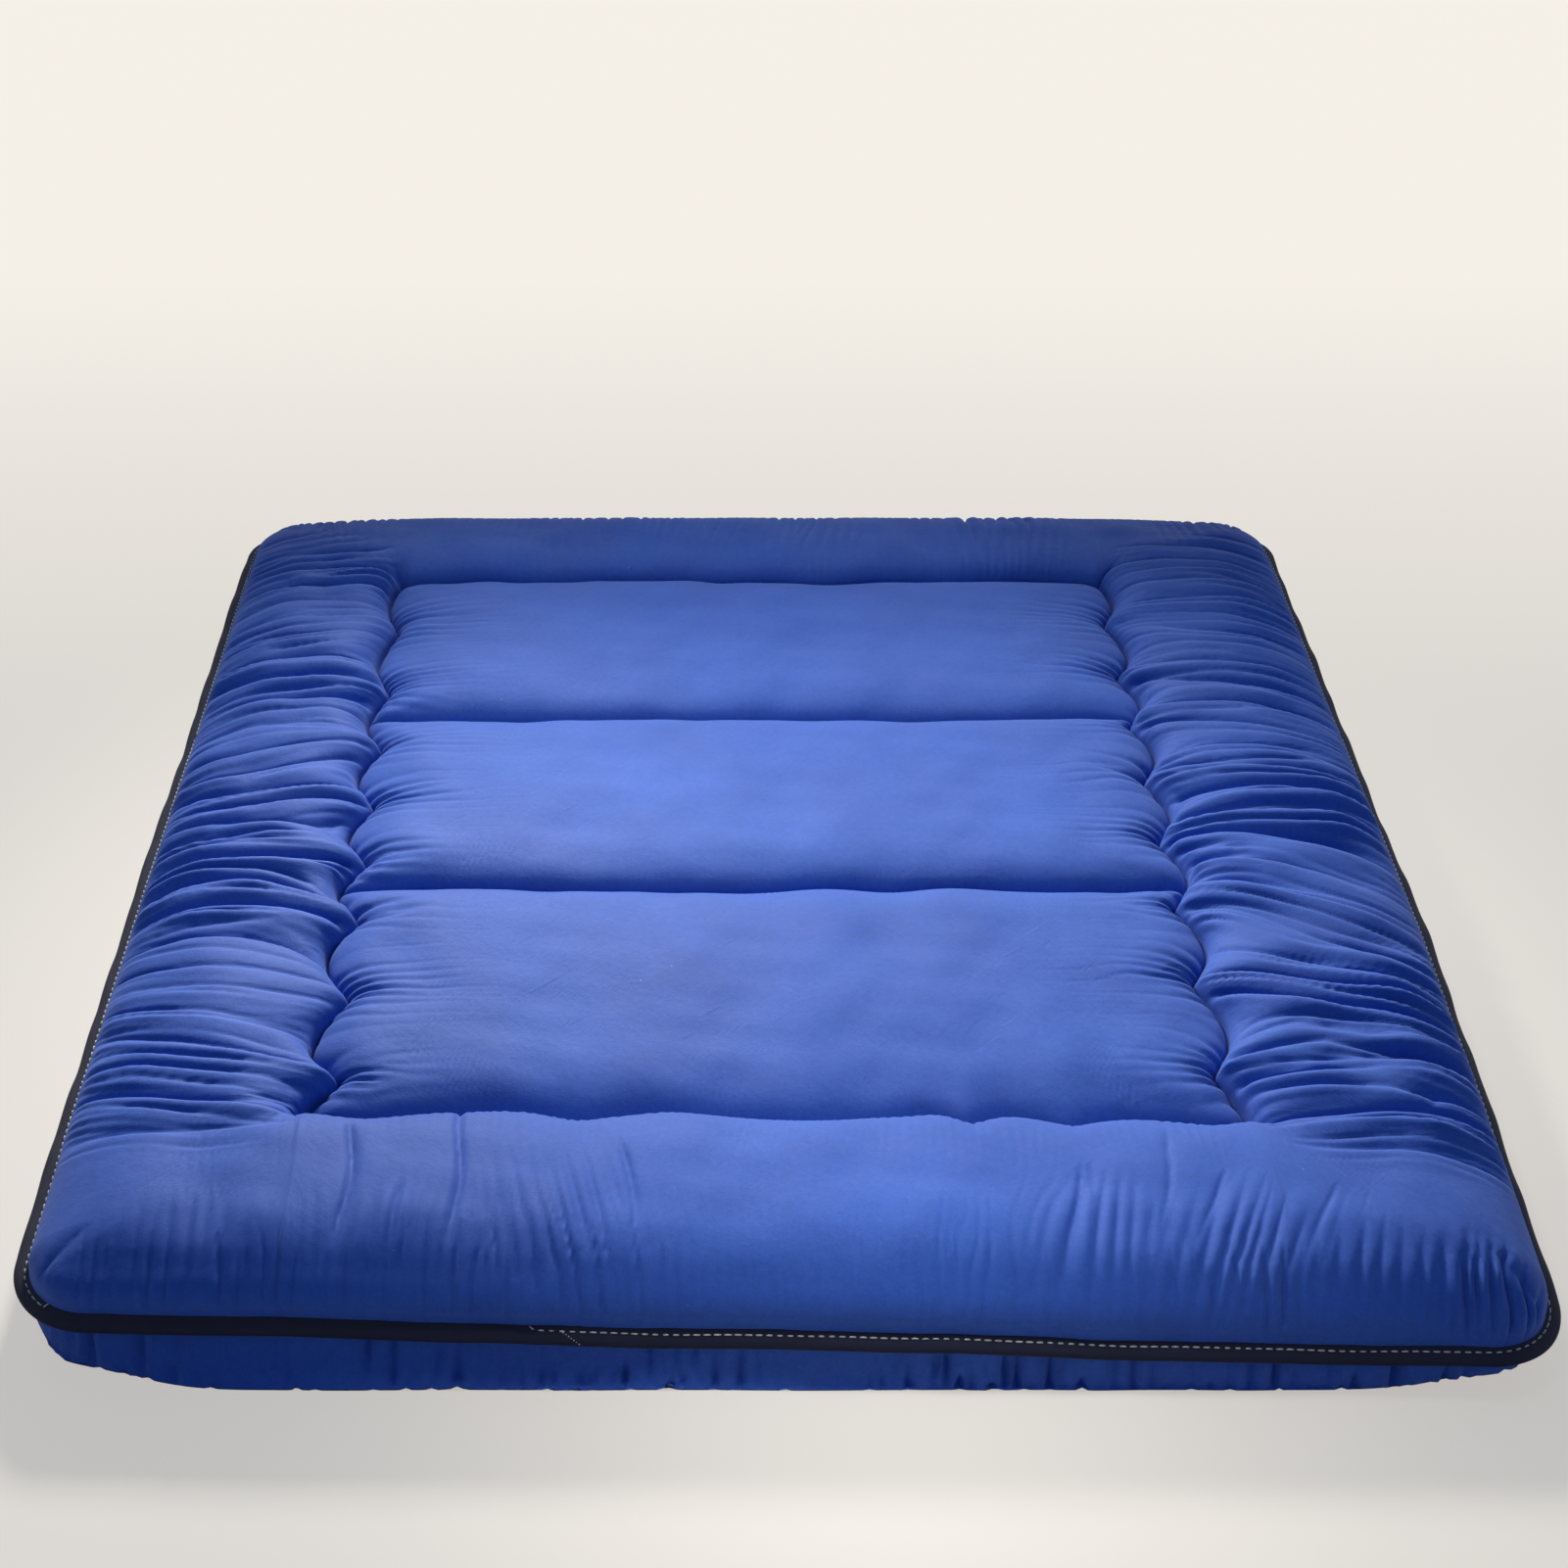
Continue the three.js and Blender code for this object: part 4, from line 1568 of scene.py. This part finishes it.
@dataclass(frozen=True)
class Fibre:
    """White polyester fibre, loose or needled."""

    name: str
    colour: Colour
    tuft: float
    valley: float = 0.86

    def build(self, effects: Effects) -> Material:
        """Makes the material.

        Args:
            effects: the shared effects.

        Returns:
            The material.
        """
        finish = Finish(self.name)
        graph = finish.graph
        nap = finish.effect(effects.nap, Patch_size=self.tuft, Fibre_size=self.tuft / 12)
        fibres = nap.outputs["Fibres"]
        # Painted shade in the hollows between fibres, the heights that give the bump, with random tufts of
        # darker tone
        shade = graph.total(graph.math("MULTIPLY", fibres, 0.4), (nap.outputs["Patches"], 0.6))
        finish.set(
            Base_Color=graph.tint(shade, darker(self.colour, self.valley), self.colour),
            Roughness=graph.total(0.85, (fibres, 0.1)),
            Normal=graph.bumps((fibres, 0.003, 0.6)),
        )
        return finish.material


class Finishes:
    """Every finish of the mattress, built once."""

    def __init__(self) -> None:
        """Builds the materials."""
        effects = Effects()
        self.cover = Microfibre().build(effects)
        self.tape = Twill().build(effects)
        self.topstitch = Thread("Light grey thread", (226, 224, 216)).build(effects)
        self.quilting = Thread("Blue thread", (26, 44, 116), 0.15).build(effects)
        self.wadding = Fibre("Loose white fibre", (238, 238, 232), 0.04).build(effects)
        self.core = Fibre("Needled white fibre", (222, 225, 228), 0.012).build(effects)


# --- The mattress's sub-assemblies ---


@dataclass
class Covers:
    """The top and bottom covers, each in three lengths."""

    sheets: dict[str, ClothSheet]
    lengths: list[Length]
    finishes: Finishes

    def build(self) -> None:
        """Cuts both sheets into their lengths and dresses them."""
        for node, sheet in self.sheets.items():
            for length in self.lengths:
                self.build_length(sheet, node, length)

    def build_length(self, sheet: ClothSheet, node: str, length: Length) -> None:
        """Makes one length of one cover.

        Args:
            sheet: the cover.
            node: the ending of the cover's node names.
            length: the length to cut.
        """
        snap = sheet.snap
        chosen = np.flatnonzero((sheet.rows > length.start - snap) & (sheet.rows < length.end + snap))
        rows = slice(chosen[0], chosen[-1] + 1)
        points, normals = sheet.points[rows], sheet.normals[rows]
        quads = grid_quads(*points.shape[:2], flip=sheet.face is Face.UNDERSIDE)
        name = f"{length.name}_{node}_cloth"
        mesh = quad_mesh(name, points.reshape(-1, 3), quads, normals)
        places = sheet.flat_map[rows]
        add_map(mesh, CLOTH_MAP, places)
        low, high = places.min(axis=(0, 1)), places.max(axis=(0, 1))
        add_map(mesh, "OFBake", 0.002 + 0.996 * (places - low) / (high - low).max())
        stands_for = [f"{part}_{node}" for part in length.parts]
        Piece(name, self.finishes.cover, "cover", stands_for).dress(mesh, length, fill=0.8)


@dataclass
class Filling:
    """The wadding, core and bolster rolls inside the covers."""

    quilting: Quilting
    top: ClothSheet
    underside: ClothSheet
    lengths: list[Length]
    finishes: Finishes
    step: float = 0.022
    seam_gap: float = 0.010
    roll_inset: float = 0.030
    cover_gap: float = 0.016
    cloth_reach: float = 0.045
    cloth_gap: float = 0.003
    core_low: float = 0.036
    core_high: float = 0.076
    ply_gap: float = 0.0006
    least: float = 0.004

    def build(self) -> None:
        """Makes every filling piece."""
        lay, gap, inner = self.quilting.layout, self.seam_gap, self.quilting.layout.inner
        foot, mid, far = self.lengths
        outer = lay.half_width - self.roll_inset
        foot_rows = (lay.foot_edge + self.roll_inset, lay.foot_seam - gap)
        head_rows = (lay.head_seam + gap, lay.head_edge - self.roll_inset)
        self.roll("foot_bolster_fill", foot, (-outer, outer), foot_rows, ["foot_bolster_roll"])
        self.roll("head_bolster_fill", far, (-outer, outer), head_rows, ["head_bolster_roll"])
        for length in self.lengths:
            for side, columns in (("left", (-outer, -inner - gap)), ("right", (inner + gap, outer))):
                nodes = [f"{part}_{side}_bolster_roll" for part in length.inner_parts]
                self.roll(f"{length.name}_{side}_bolster_fill", length, columns, length.quilted(lay), nodes)
        panels = (
            ("foot", foot, (lay.foot_seam + gap, lay.near_middle), "near"),
            ("near", mid, (lay.near_middle, lay.cross_a - gap), "near"),
            ("mid", mid, (lay.cross_a + gap, lay.cross_b - self.ply_gap), "middle"),
            ("far", far, (lay.cross_b + gap, lay.head_seam - gap), "middle"),
        )
        for name, length, rows, part in panels:
            self.layers(name, length, (gap - inner, inner - gap), rows, part)

    def low_face(self, division: float, limit: float = math.inf) -> Surface:
        """A surface over the bottom cover by a part of the cover's gap, and never above a limit."""
        gap = self.cover_gap / division
        return lambda x, y: np.minimum(self.quilting.underside_height(x, y) + gap, limit)

    def high_face(self, limit: float = -math.inf) -> Surface:
        """A surface under the top cover by the cover's gap, and never below a limit."""
        return lambda x, y: np.maximum(self.quilting.top_height(x, y) - self.cover_gap, limit)

    @staticmethod
    def level(height: float) -> Surface:
        """A level surface."""
        return lambda x, y: np.full(x.shape, height)

    def layers(self, name: str, length: Length, columns: Span, rows: Span, part: str) -> None:
        """The lower wadding, core and upper wadding of one panel's stretch.

        Args:
            name: start of the names of its pieces.
            length: the length that they belong to.
            columns, rows: their spans across and along.
            part: start of the names of the nodes that they stand for.
        """
        gap, low, high = self.ply_gap, self.core_low, self.core_high
        wadding, core = (self.finishes.wadding, "wadding"), (self.finishes.core, "core")
        plies = (
            ("lower_wadding", self.low_face(4, low - 2 * gap), self.level(low - gap), wadding),
            ("core_pad", self.level(low), self.level(high), core),
            ("upper_wadding", self.level(high + gap), self.high_face(high + 2 * gap), wadding),
        )
        for node, bottom, top, finish in plies:
            mesh = self.block(f"{name}_{node}_fill", columns, rows, bottom, top)
            Piece(mesh.name, *finish, [f"{part}_{node}"]).dress(mesh, length, fill=0.6)

    def roll(self, name: str, length: Length, columns: Span, rows: Span, nodes: list[str]) -> None:
        """One stretch of the roll of fibre in a bolster."""
        mesh = self.block(name, columns, rows, self.low_face(2), self.high_face())
        Piece(name, self.finishes.wadding, "wadding", nodes).dress(mesh, length, fill=0.9)

    def block(self, name: str, columns: Span, rows: Span, bottom: Surface, top: Surface) -> Mesh:
        """A closed block between two surfaces over a rectangle of the layout, kept inside the cloth.

        Args:
            name: its name.
            columns, rows: its spans across and along.
            bottom, top: the surfaces.

        Returns:
            The mesh of the block.
        """
        x, y = np.meshgrid(*(stations((*span, self.step)) for span in (columns, rows)))
        px, py = self.quilting.plan(x, y)
        floor = self.underside.tightest(x, y, self.cloth_reach) + self.cloth_gap
        roof = self.top.tightest(x, y, self.cloth_reach) - self.cloth_gap
        low = np.maximum(bottom(x, y), floor)
        high = np.maximum(np.minimum(top(x, y), roof), low + self.least)
        count = x.size
        points = np.concatenate([np.stack([px, py, z], axis=2).reshape(-1, 3) for z in (low, high)])
        index = np.arange(count).reshape(x.shape)
        rim = np.concatenate([index[0, :-1], index[:-1, -1], index[-1, :0:-1], index[:0:-1, 0]])
        after = np.roll(rim, -1)
        walls = np.stack([rim, after, after + count, rim + count], axis=1)
        flat = grid_quads(*x.shape)
        return quad_mesh(name, points, np.concatenate([flat[:, ::-1], flat + count, walls]))


@dataclass
class Edge:
    """The bound edge of the mattress: a closed run of places, each with its outward direction."""

    quilting: Quilting
    step: float = 0.0065

    def __post_init__(self) -> None:
        """Walks the edge once, and keeps the places where the lengths meet."""
        lay = self.quilting.layout
        radius = lay.corner - lay.seam_inset
        reach_x, edge = lay.half_width - lay.corner, lay.half_width - lay.seam_inset
        foot, head = lay.foot_edge + lay.corner, lay.head_edge - lay.corner
        cuts = [foot, lay.near_middle, lay.cross_b, head]
        right = np.concatenate([self.even(a, b)[:-1] for a, b in zip(cuts, cuts[1:])])
        left = np.concatenate([self.even(b, a)[:-1] for a, b in zip(cuts, cuts[1:])][::-1])
        turn = self.even(-math.pi / 2, 0, self.step / radius)[:-1]
        across = self.even(-reach_x, reach_x)[:-1]
        walk = np.concatenate([
            self.straight(across, lay.foot_edge + lay.seam_inset, (0, -1)),
            self.arc(reach_x, foot, radius, turn),
            self.straight(edge, right, (1, 0)),
            self.arc(reach_x, head, radius, turn + math.pi / 2),
            self.straight(-across, lay.head_edge - lay.seam_inset, (0, 1)),
            self.arc(-reach_x, head, radius, turn + math.pi),
            self.straight(-edge, left, (-1, 0)),
            self.arc(-reach_x, foot, radius, turn + 1.5 * math.pi),
        ])
        self.plain, self.outward = walk[:, :2], walk[:, 2:]
        x, y = self.plain[:, 0], self.plain[:, 1]
        swollen = x + self.quilting.side_swell(x, y)
        height = self.quilting.root_height(x, y)
        self.root = np.stack([swollen, y - self.quilting.skew(x, y), height], axis=1)
        self.run = run_along(np.concatenate([self.root, self.root[:1]]))

    def even(self, start: float, end: float, step: float | None = None) -> Array:
        """Even places from start to end, either way."""
        count = max(2, round(abs(end - start) / (step or self.step)))
        return np.linspace(start, end, count + 1)

    def straight(self, x: Array | float, y: Array | float, way: Span) -> Array:
        """Places along a side, each with the same outward way."""
        x, y = np.broadcast_arrays(x, y)
        return np.stack([x, y, np.full(x.shape, way[0]), np.full(x.shape, way[1])], axis=1)

    def arc(self, x: float, y: float, radius: float, turn: Array) -> Array:
        """Places round a corner, each with its outward way."""
        way = np.stack([np.cos(turn), np.sin(turn)], axis=1)
        return np.concatenate([np.array([[x, y]]) + radius * way, way], axis=1)

    def stretches(self, length: Length) -> list[Array]:
        """The runs of place numbers along the edge that belong to a length.

        Args:
            length: the length.

        Returns:
            The place numbers of each run.
        """
        y = self.plain[:, 1]
        inside = (y >= length.start - HAIR) & (y <= length.end + HAIR)
        count = len(y)
        starts = [i for i in range(count) if inside[i] and not inside[i - 1]]
        runs = []
        for start in starts:
            stop = start
            while inside[(stop + 1) % count] and stop + 1 - start < count:
                stop += 1
            runs.append(np.arange(start, stop + 1) % count)
        return runs


@dataclass
class Binding:
    """The folded tape round the edge and the row of stitches that holds it."""

    quilting: Quilting
    edge: Edge
    lengths: list[Length]
    finishes: Finishes
    width: float = 0.0205
    thick: float = 0.0092
    droop: float = math.radians(40)
    side_lift: Span = (math.radians(26), math.radians(14))
    twist: float = math.radians(5.0)
    stitch_place: float = 0.0042
    tucked_in: float = 13 * MILLI
    lap: Span = (-0.262, -0.240)
    lap_rise: float = 0.18
    foot_band: float = 0.03

    HALF_PROFILE = (
        (-0.35, 0.60), (0.10, 0.66), (0.24, 0.62), (0.42, 0.88), (0.62, 1.00), (0.80, 0.93), (0.93, 0.60),
    )
    LAP_PROFILE = ((0.24, 0.42, 0.62, 0.80, 0.93), (0.72, 1.0, 1.13, 1.06, 0.7))

    def __post_init__(self) -> None:
        """Shapes the tape all the way round."""
        turns = TURN * self.edge.run[:-1] / self.edge.run[-1]
        sway = np.sin(11 * turns + 1.0) + 0.7 * np.sin(19 * turns + 2.2) + 0.8 * np.sin(57 * turns)
        aside = self.edge.outward[:, 0]
        lifted = np.where(aside < 0, *self.side_lift) * aside**2
        self.tilt = self.droop - lifted + self.twist * sway
        fat = 1 + 0.07 * np.sin(29 * turns) + 0.07 * np.sin(67 * turns + 1.0) + 0.06 * np.sin(113 * turns)
        plain_x, (lap_from, lap_to) = self.edge.plain[:, 0], self.lap
        at_foot = self.at_foot(slice(None))
        self.hidden = at_foot * (1 - smooth_step(lap_from - 0.05, lap_from - 0.03, plain_x))
        lapped = at_foot * smooth_step(lap_from - 0.03, lap_from - 0.02, plain_x)
        fat = fat + self.lap_rise * lapped * (1 - smooth_step(lap_to, lap_to + 0.007, plain_x))
        lower = tuple((along, -up) for along, up in reversed(self.HALF_PROFILE))
        profile = (*self.HALF_PROFILE, (1.0, 0.0), *lower)
        ring = [self.place(along * self.width, up * self.thick / 2 * fat) for along, up in profile]
        self.skin = np.stack(ring, axis=1)
        padded = np.concatenate([self.skin[:, -2:], self.skin, self.skin[:, :2]], axis=1)
        across = np.gradient(padded, axis=1)[:, 2:-2]
        along = (np.roll(self.skin, -1, axis=0) - np.roll(self.skin, 1, axis=0)) / 2
        self.normals = unit(np.cross(across, along))

    def at_foot(self, run: Array | slice) -> Array:
        """True where a place of the run lies on the foot edge."""
        return self.edge.plain[run, 1] < self.quilting.layout.foot_edge + self.foot_band

    def place(self, across: Array | float, up: Array | float) -> Array:
        """Places on the tilted tape, from how far out of the seam and above the tape's middle they are."""
        cos, sin = np.cos(self.tilt), np.sin(self.tilt)
        outward = across * cos + up * sin
        rise = up * cos - across * sin
        level = self.edge.outward * outward[:, None]
        return self.edge.root + np.concatenate([level, rise[:, None]], axis=1)

    def names(self, length: Length, which: int, many: bool, what: str) -> tuple[str, list[str]]:
        """A piece's name and the nodes it stands for."""
        if not many:
            nodes = [f"{part}_{what}" for part in length.parts if part not in length.inner_parts]
            nodes += [f"{part}_{side}_{what}" for part in length.inner_parts for side in ("left", "right")]
            return f"{length.name}_{what}", nodes
        side = ("right", "left")[which]
        return f"{length.name}_{side}_{what}", [f"{part}_{side}_{what}" for part in length.parts]

    def build(self) -> None:
        """Makes the tape's and the topstitching's lengths."""
        for length in self.lengths:
            runs = self.edge.stretches(length)
            runs.sort(key=lambda run: -self.edge.plain[run, 0].mean())
            for which, run in enumerate(runs):
                many = len(runs) > 1
                self.build_tape(length, run, *self.names(length, which, many, "binding_tape"))
                self.build_stitches(length, run, *self.names(length, which, many, "binding_topstitch"))

    def build_tape(self, length: Length, run: Array, name: str, nodes: list[str]) -> None:
        """Makes one length of the tape.

        Args:
            length: the length that it belongs to.
            run: the numbers of its places along the edge.
            name: its name.
            nodes: the nodes that it stands for.
        """
        points = self.skin[run]
        quads = grid_quads(*points.shape[:2])
        mesh = quad_mesh(f"{name}_folded", points.reshape(-1, 3), quads, self.normals[run])
        at, total = self.edge.run[:-1][run], self.edge.run[-1]
        at = at[0] + np.unwrap(TURN * (at - at[0]) / total) * total / TURN
        places = np.stack(np.broadcast_arrays(at[:, None], run_along(points[0])[None, :]), axis=2)
        add_map(mesh, CLOTH_MAP, places)
        Piece(mesh.name, self.finishes.tape, "binding", nodes).dress(mesh, length)

    def build_stitches(self, length: Length, run: Array, name: str, nodes: list[str]) -> None:
        """Makes one length of the topstitching, dash by dash.

        Args:
            length: the length that it belongs to.
            run: the numbers of its places along the edge.
            name: its name.
            nodes: the nodes that it stands for.
        """
        seat = self.thick / 2 * self.HALF_PROFILE[1][1]
        where = self.stitch_place - self.tucked_in * self.hidden
        row = self.place(where, seat)[run]
        up = self.place(where, seat + 1.0)[run] - row
        mesh = Stitches(0.0088, 0.0121, 0.0010).mesh(f"{name}_dashes", row, up)
        Piece(mesh.name, self.finishes.topstitch, "topstitch", nodes).dress(mesh, length)
        if "foot" in length.parts:
            self.build_lap(length, run, name, nodes)

    def build_lap(self, length: Length, run: Array, name: str, nodes: list[str]) -> None:
        """Makes the short slanted row of stitches where the ends of the tape lap.

        Args:
            length: the length that it belongs to.
            run: the numbers of its places along the edge.
            name: its name.
            nodes: the nodes that it stands for.
        """
        foot = run[self.at_foot(run)]
        order = foot[np.argsort(self.edge.plain[foot, 0])]
        share = np.linspace(0, 1, 9)
        across = self.stitch_place + share * (0.93 * self.width - self.stitch_place)
        aim = self.lap[0] + share * (self.lap[1] - self.lap[0])
        places = np.interp(aim, self.edge.plain[order, 0], order)
        rise = self.thick / 2 * np.interp(across / self.width, *self.LAP_PROFILE)
        row, up = [], []
        for place, w, n in zip(places.round().astype(int), across, rise):
            row.append(self.place(w, n)[place])
            up.append(self.place(w, n + 1.0)[place] - row[-1])
        row = np.array(row)
        row[:, 0] = np.interp(share, (0, 1), self.lap)
        mesh = Stitches(0.0026, 0.0038, 0.0007).mesh(f"{name}_lap_stitches", row, np.array(up))
        Piece(mesh.name, self.finishes.topstitch, "topstitch", nodes).dress(mesh, length)


@dataclass(frozen=True)
class Stitches:
    """A row of stitches, each a short thread that dips into the cloth at both ends."""

    dash: float
    pitch: float
    thread: float
    sides: int = 6

    LIFT = (-0.7, 0.55, 0.8, 0.55, -0.7)
    SIZE = (0.45, 1.0, 1.05, 1.0, 0.45)

    def mesh(self, name: str, row: Array, up: Array) -> Mesh:
        """The stitches along a row of points.

        Args:
            name: the mesh's name.
            row: the points of the row.
            up: the direction out of the cloth at each.

        Returns:
            The mesh of all its stitches.
        """
        run = run_along(row)
        starts = np.arange(self.pitch / 2, run[-1] - self.dash, self.pitch)
        dashes = [self.dash_points(run, row, up, start) for start in starts]
        quads = grid_quads(len(self.LIFT), self.sides, flip=True, round_rows=True)
        count = len(self.LIFT) * self.sides
        faces = [quads + count * number for number in range(len(dashes))]
        return quad_mesh(name, np.concatenate(dashes), np.concatenate(faces))

    def dash_points(self, run: Array, row: Array, up: Array, start: float) -> Array:
        """The points of one stitch, ring by ring.

        Args:
            run: distance along the row of each of its points.
            row, up: the points and the direction out of the cloth at each.
            start: where on the run the stitch starts.

        Returns:
            The points.
        """
        wobble = math.sin(1e3 * start) * 0.06 * self.dash
        at = np.linspace(start + wobble, start + self.dash * 0.97 - wobble, len(self.LIFT))
        middle = np.stack([np.interp(at, run, row[:, k]) for k in range(3)], axis=1)
        normal = unit(np.stack([np.interp(at, run, up[:, k]) for k in range(3)], axis=1))
        way = middle[-1] - middle[0]
        aside = np.cross(normal, way / np.linalg.norm(way))
        lift = np.array(self.LIFT)[:, None] * self.thread
        size = np.array(self.SIZE)[:, None, None] * self.thread
        turn = (np.arange(self.sides) * TURN / self.sides)[None, :, None]
        ring = np.cos(turn) * aside[:, None, :] + np.sin(turn) * normal[:, None, :]
        return ((middle + normal * lift)[:, None, :] + size * ring).reshape(-1, 3)


@dataclass
class QuiltingThreads:
    """The stitches that lie deep in the quilting lines of the top cover."""

    top: ClothSheet
    lengths: list[Length]
    finishes: Finishes
    stitches: Stitches = Stitches(0.0075, 0.0105, 0.0008, 4)

    def build(self) -> None:
        """Makes each length's side lines, and the lines that cross the mattress."""
        lay = self.top.quilting.layout
        foot, mid, far = self.lengths
        for length in self.lengths:
            for side, sign in (("left", -1), ("right", 1)):
                nodes = [f"{part}_{side}_quilting_thread" for part in length.inner_parts]
                name = f"{length.name}_{side}_quilting_dashes"
                self.dress(name, length, nodes, self.side_row(sign, *length.quilted(lay)))
        crossing = (
            ("foot_line_dashes", foot, "near_foot_quilting_thread"),
            ("near_line_dashes", mid, "middle_cross_thread_a"),
            ("mid_line_dashes", far, "middle_cross_thread_b"),
            ("head_line_dashes", far, "middle_head_quilting_thread"),
        )
        for (name, length, node), line in zip(crossing, lay.lines):
            self.dress(name, length, [node], self.cross_row(line))

    def side_row(self, sign: int, low: float, high: float) -> tuple[Array, Array]:
        """The points of a side line between two heights up the bed."""
        lay = self.top.quilting.layout
        column = int(np.abs(self.top.columns - sign * lay.inner).argmin())
        rows = (self.top.rows > low - HAIR) & (self.top.rows < high + HAIR)
        return self.top.points[rows, column], self.top.normals[rows, column]

    def cross_row(self, line: float) -> tuple[Array, Array]:
        """The points of a line across the mattress."""
        row = int(np.abs(self.top.rows - line).argmin())
        columns = np.abs(self.top.columns) < self.top.quilting.layout.inner + HAIR
        return self.top.points[row, columns], self.top.normals[row, columns]

    def dress(self, name: str, length: Length, nodes: list[str], row: tuple[Array, Array]) -> None:
        """Makes and dresses one row."""
        mesh = self.stitches.mesh(name, *row)
        Piece(name, self.finishes.quilting, "quilting_thread", nodes).dress(mesh, length)


# --- Room ---


@dataclass(frozen=True)
class Lamp:
    """One soft square lamp that looks at a point; spread is how wide it shines, in degrees."""

    name: str
    place: Triple
    aim: Triple
    size: float
    power: float
    spread: float
    colour: Triple = (1.0, 0.97, 0.90)

    def build(self) -> None:
        """Hangs the lamp."""
        data = bpy.data.lights.new(self.name, "AREA")
        data.shape = "SQUARE"
        data.size = self.size
        data.energy = self.power
        data.color = self.colour
        data.spread = math.radians(self.spread)
        lamp = bpy.data.objects.new(self.name, data)
        lamp.location = self.place
        lamp.rotation_euler = (Vector(self.aim) - Vector(self.place)).to_track_quat("-Z", "Y").to_euler()
        bpy.context.scene.collection.objects.link(lamp)


@dataclass(frozen=True)
class Studio:
    """The pale floor, the soft light and the camera."""

    layout: Layout
    pitch: float = math.radians(32.55)
    eye_height: float = 2.185
    eye_back: float = 2.112
    eye_left: float = 0.092
    lens: float = 57.79
    shift: float = 0.049
    lamps: tuple[Lamp, ...] = (
        Lamp("left window", (-0.40, 2.4, 2.1), (-0.76, -0.72, 0.1), 0.5, 5.9, 34.0),
        Lamp("middle window", (0.10, 2.4, 2.1), (0.72, -0.70, 0.1), 0.5, 2.7, 36.0),
        Lamp("right window", (-1.30, 2.0, 2.0), (0.72, -0.76, 0.1), 0.5, 3.9, 34.0),
        Lamp("skylight", (-0.30, 1.0, 2.9), (-0.05, 0.25, 0.1), 0.6, 2.4, 36.0),
        Lamp("overhead", (0.10, -0.72, 2.5), (0.14, -1.08, 0.0), 0.7, 1.3, 26.0),
    )

    def build(self) -> None:
        """Sets the room up."""
        self.camera()
        self.floor()
        self.lights()
        bpy.context.scene.view_settings.view_transform = "Standard"

    def camera(self) -> None:
        """The camera stands past the foot edge and looks down along the mattress."""
        data = bpy.data.cameras.new("camera")
        data.lens = self.lens
        data.sensor_width = 36.0
        data.shift_x = self.shift
        data.clip_end = 60.0
        camera = bpy.data.objects.new("camera", data)
        camera.location = (-self.eye_left, self.layout.foot_edge - self.eye_back, self.eye_height)
        camera.rotation_euler = (math.pi / 2 - self.pitch, 0.0, 0.0)
        bpy.context.scene.collection.objects.link(camera)
        bpy.context.scene.camera = camera

    def floor(self) -> None:
        """A plain pale floor that runs out of view."""
        bpy.ops.mesh.primitive_plane_add(size=40.0, location=(0, 6.0, -0.0005))
        floor = bpy.context.object
        floor.name = "floor"
        finish = Finish("Pale floor")
        graph = finish.graph
        grain = graph.noise(finish.place, 3.0, 3.0)
        finish.set(
            Base_Color=graph.tint(grain, (226, 219, 209), (232, 226, 217)),
            Roughness=graph.math("MULTIPLY_ADD", grain, 0.1, 0.55),
        )
        glow = graph.add("ShaderNodeEmission", Color=linear(251, 245, 236), Strength=1.0)
        place = graph.add("ShaderNodeSeparateXYZ", Vector=finish.place)
        share = graph.ramp(place.outputs["Y"], (-7.0, -3.5), (0.52, 0.94))
        seen = graph.math("MULTIPLY", graph.add("ShaderNodeLightPath").outputs["Is Camera Ray"], share)
        mixed = graph.add("ShaderNodeMixShader", i0=seen, i1=finish.shader.outputs[0], i2=glow.outputs[0])
        output = next(n for n in finish.material.node_tree.nodes if n.type == "OUTPUT_MATERIAL")
        graph.feed(output.inputs["Surface"], mixed.outputs[0])
        floor.data.materials.append(finish.material)

    def lights(self) -> None:
        """Soft window light from above the head end, a little from overhead, and a low even fill."""
        for lamp in self.lamps:
            lamp.build()
        world = bpy.data.worlds.new("room")
        bpy.context.scene.world = world
        world.use_nodes = True
        graph = Graph(world.node_tree)
        world.node_tree.nodes.clear()
        rays = graph.add("ShaderNodeLightPath")
        seen = graph.math("MAXIMUM", rays.outputs["Is Camera Ray"], rays.outputs["Is Glossy Ray"])
        fill = graph.add("ShaderNodeBackground", Color=(0.22, 0.50, 1.0, 1.0), Strength=0.22)
        pale = graph.add("ShaderNodeBackground", Color=(1.0, 0.99, 0.98, 1.0), Strength=0.95)
        mixed = graph.add("ShaderNodeMixShader", i0=seen, i1=fill.outputs[0], i2=pale.outputs[0])
        graph.add("ShaderNodeOutputWorld", Surface=mixed.outputs[0])


def main() -> None:
    """Builds the mattress and its room."""
    logging.basicConfig(level=logging.INFO, format="%(name)s: %(message)s")
    layout = Layout.from_frame()
    Studio(layout).build()
    quilting = Quilting(layout)
    gathers = Gathers(quilting)
    finishes = Finishes()
    lengths = mattress_lengths(layout)
    top = ClothSheet(quilting, gathers, Face.TOP, Settling())
    still = Settling(passes=40, pressure=0.01 * MILLI)
    coarse = 0.0075
    underside = ClothSheet(quilting, gathers, Face.UNDERSIDE, still, row_step=coarse, column_step=coarse)
    Covers({"top_cover": top, "bottom_cover": underside}, lengths, finishes).build()
    Filling(quilting, top, underside, lengths, finishes).build()
    Binding(quilting, Edge(quilting), lengths, finishes).build()
    QuiltingThreads(top, lengths, finishes).build()
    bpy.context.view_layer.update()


if __name__ == "__main__":
    main()
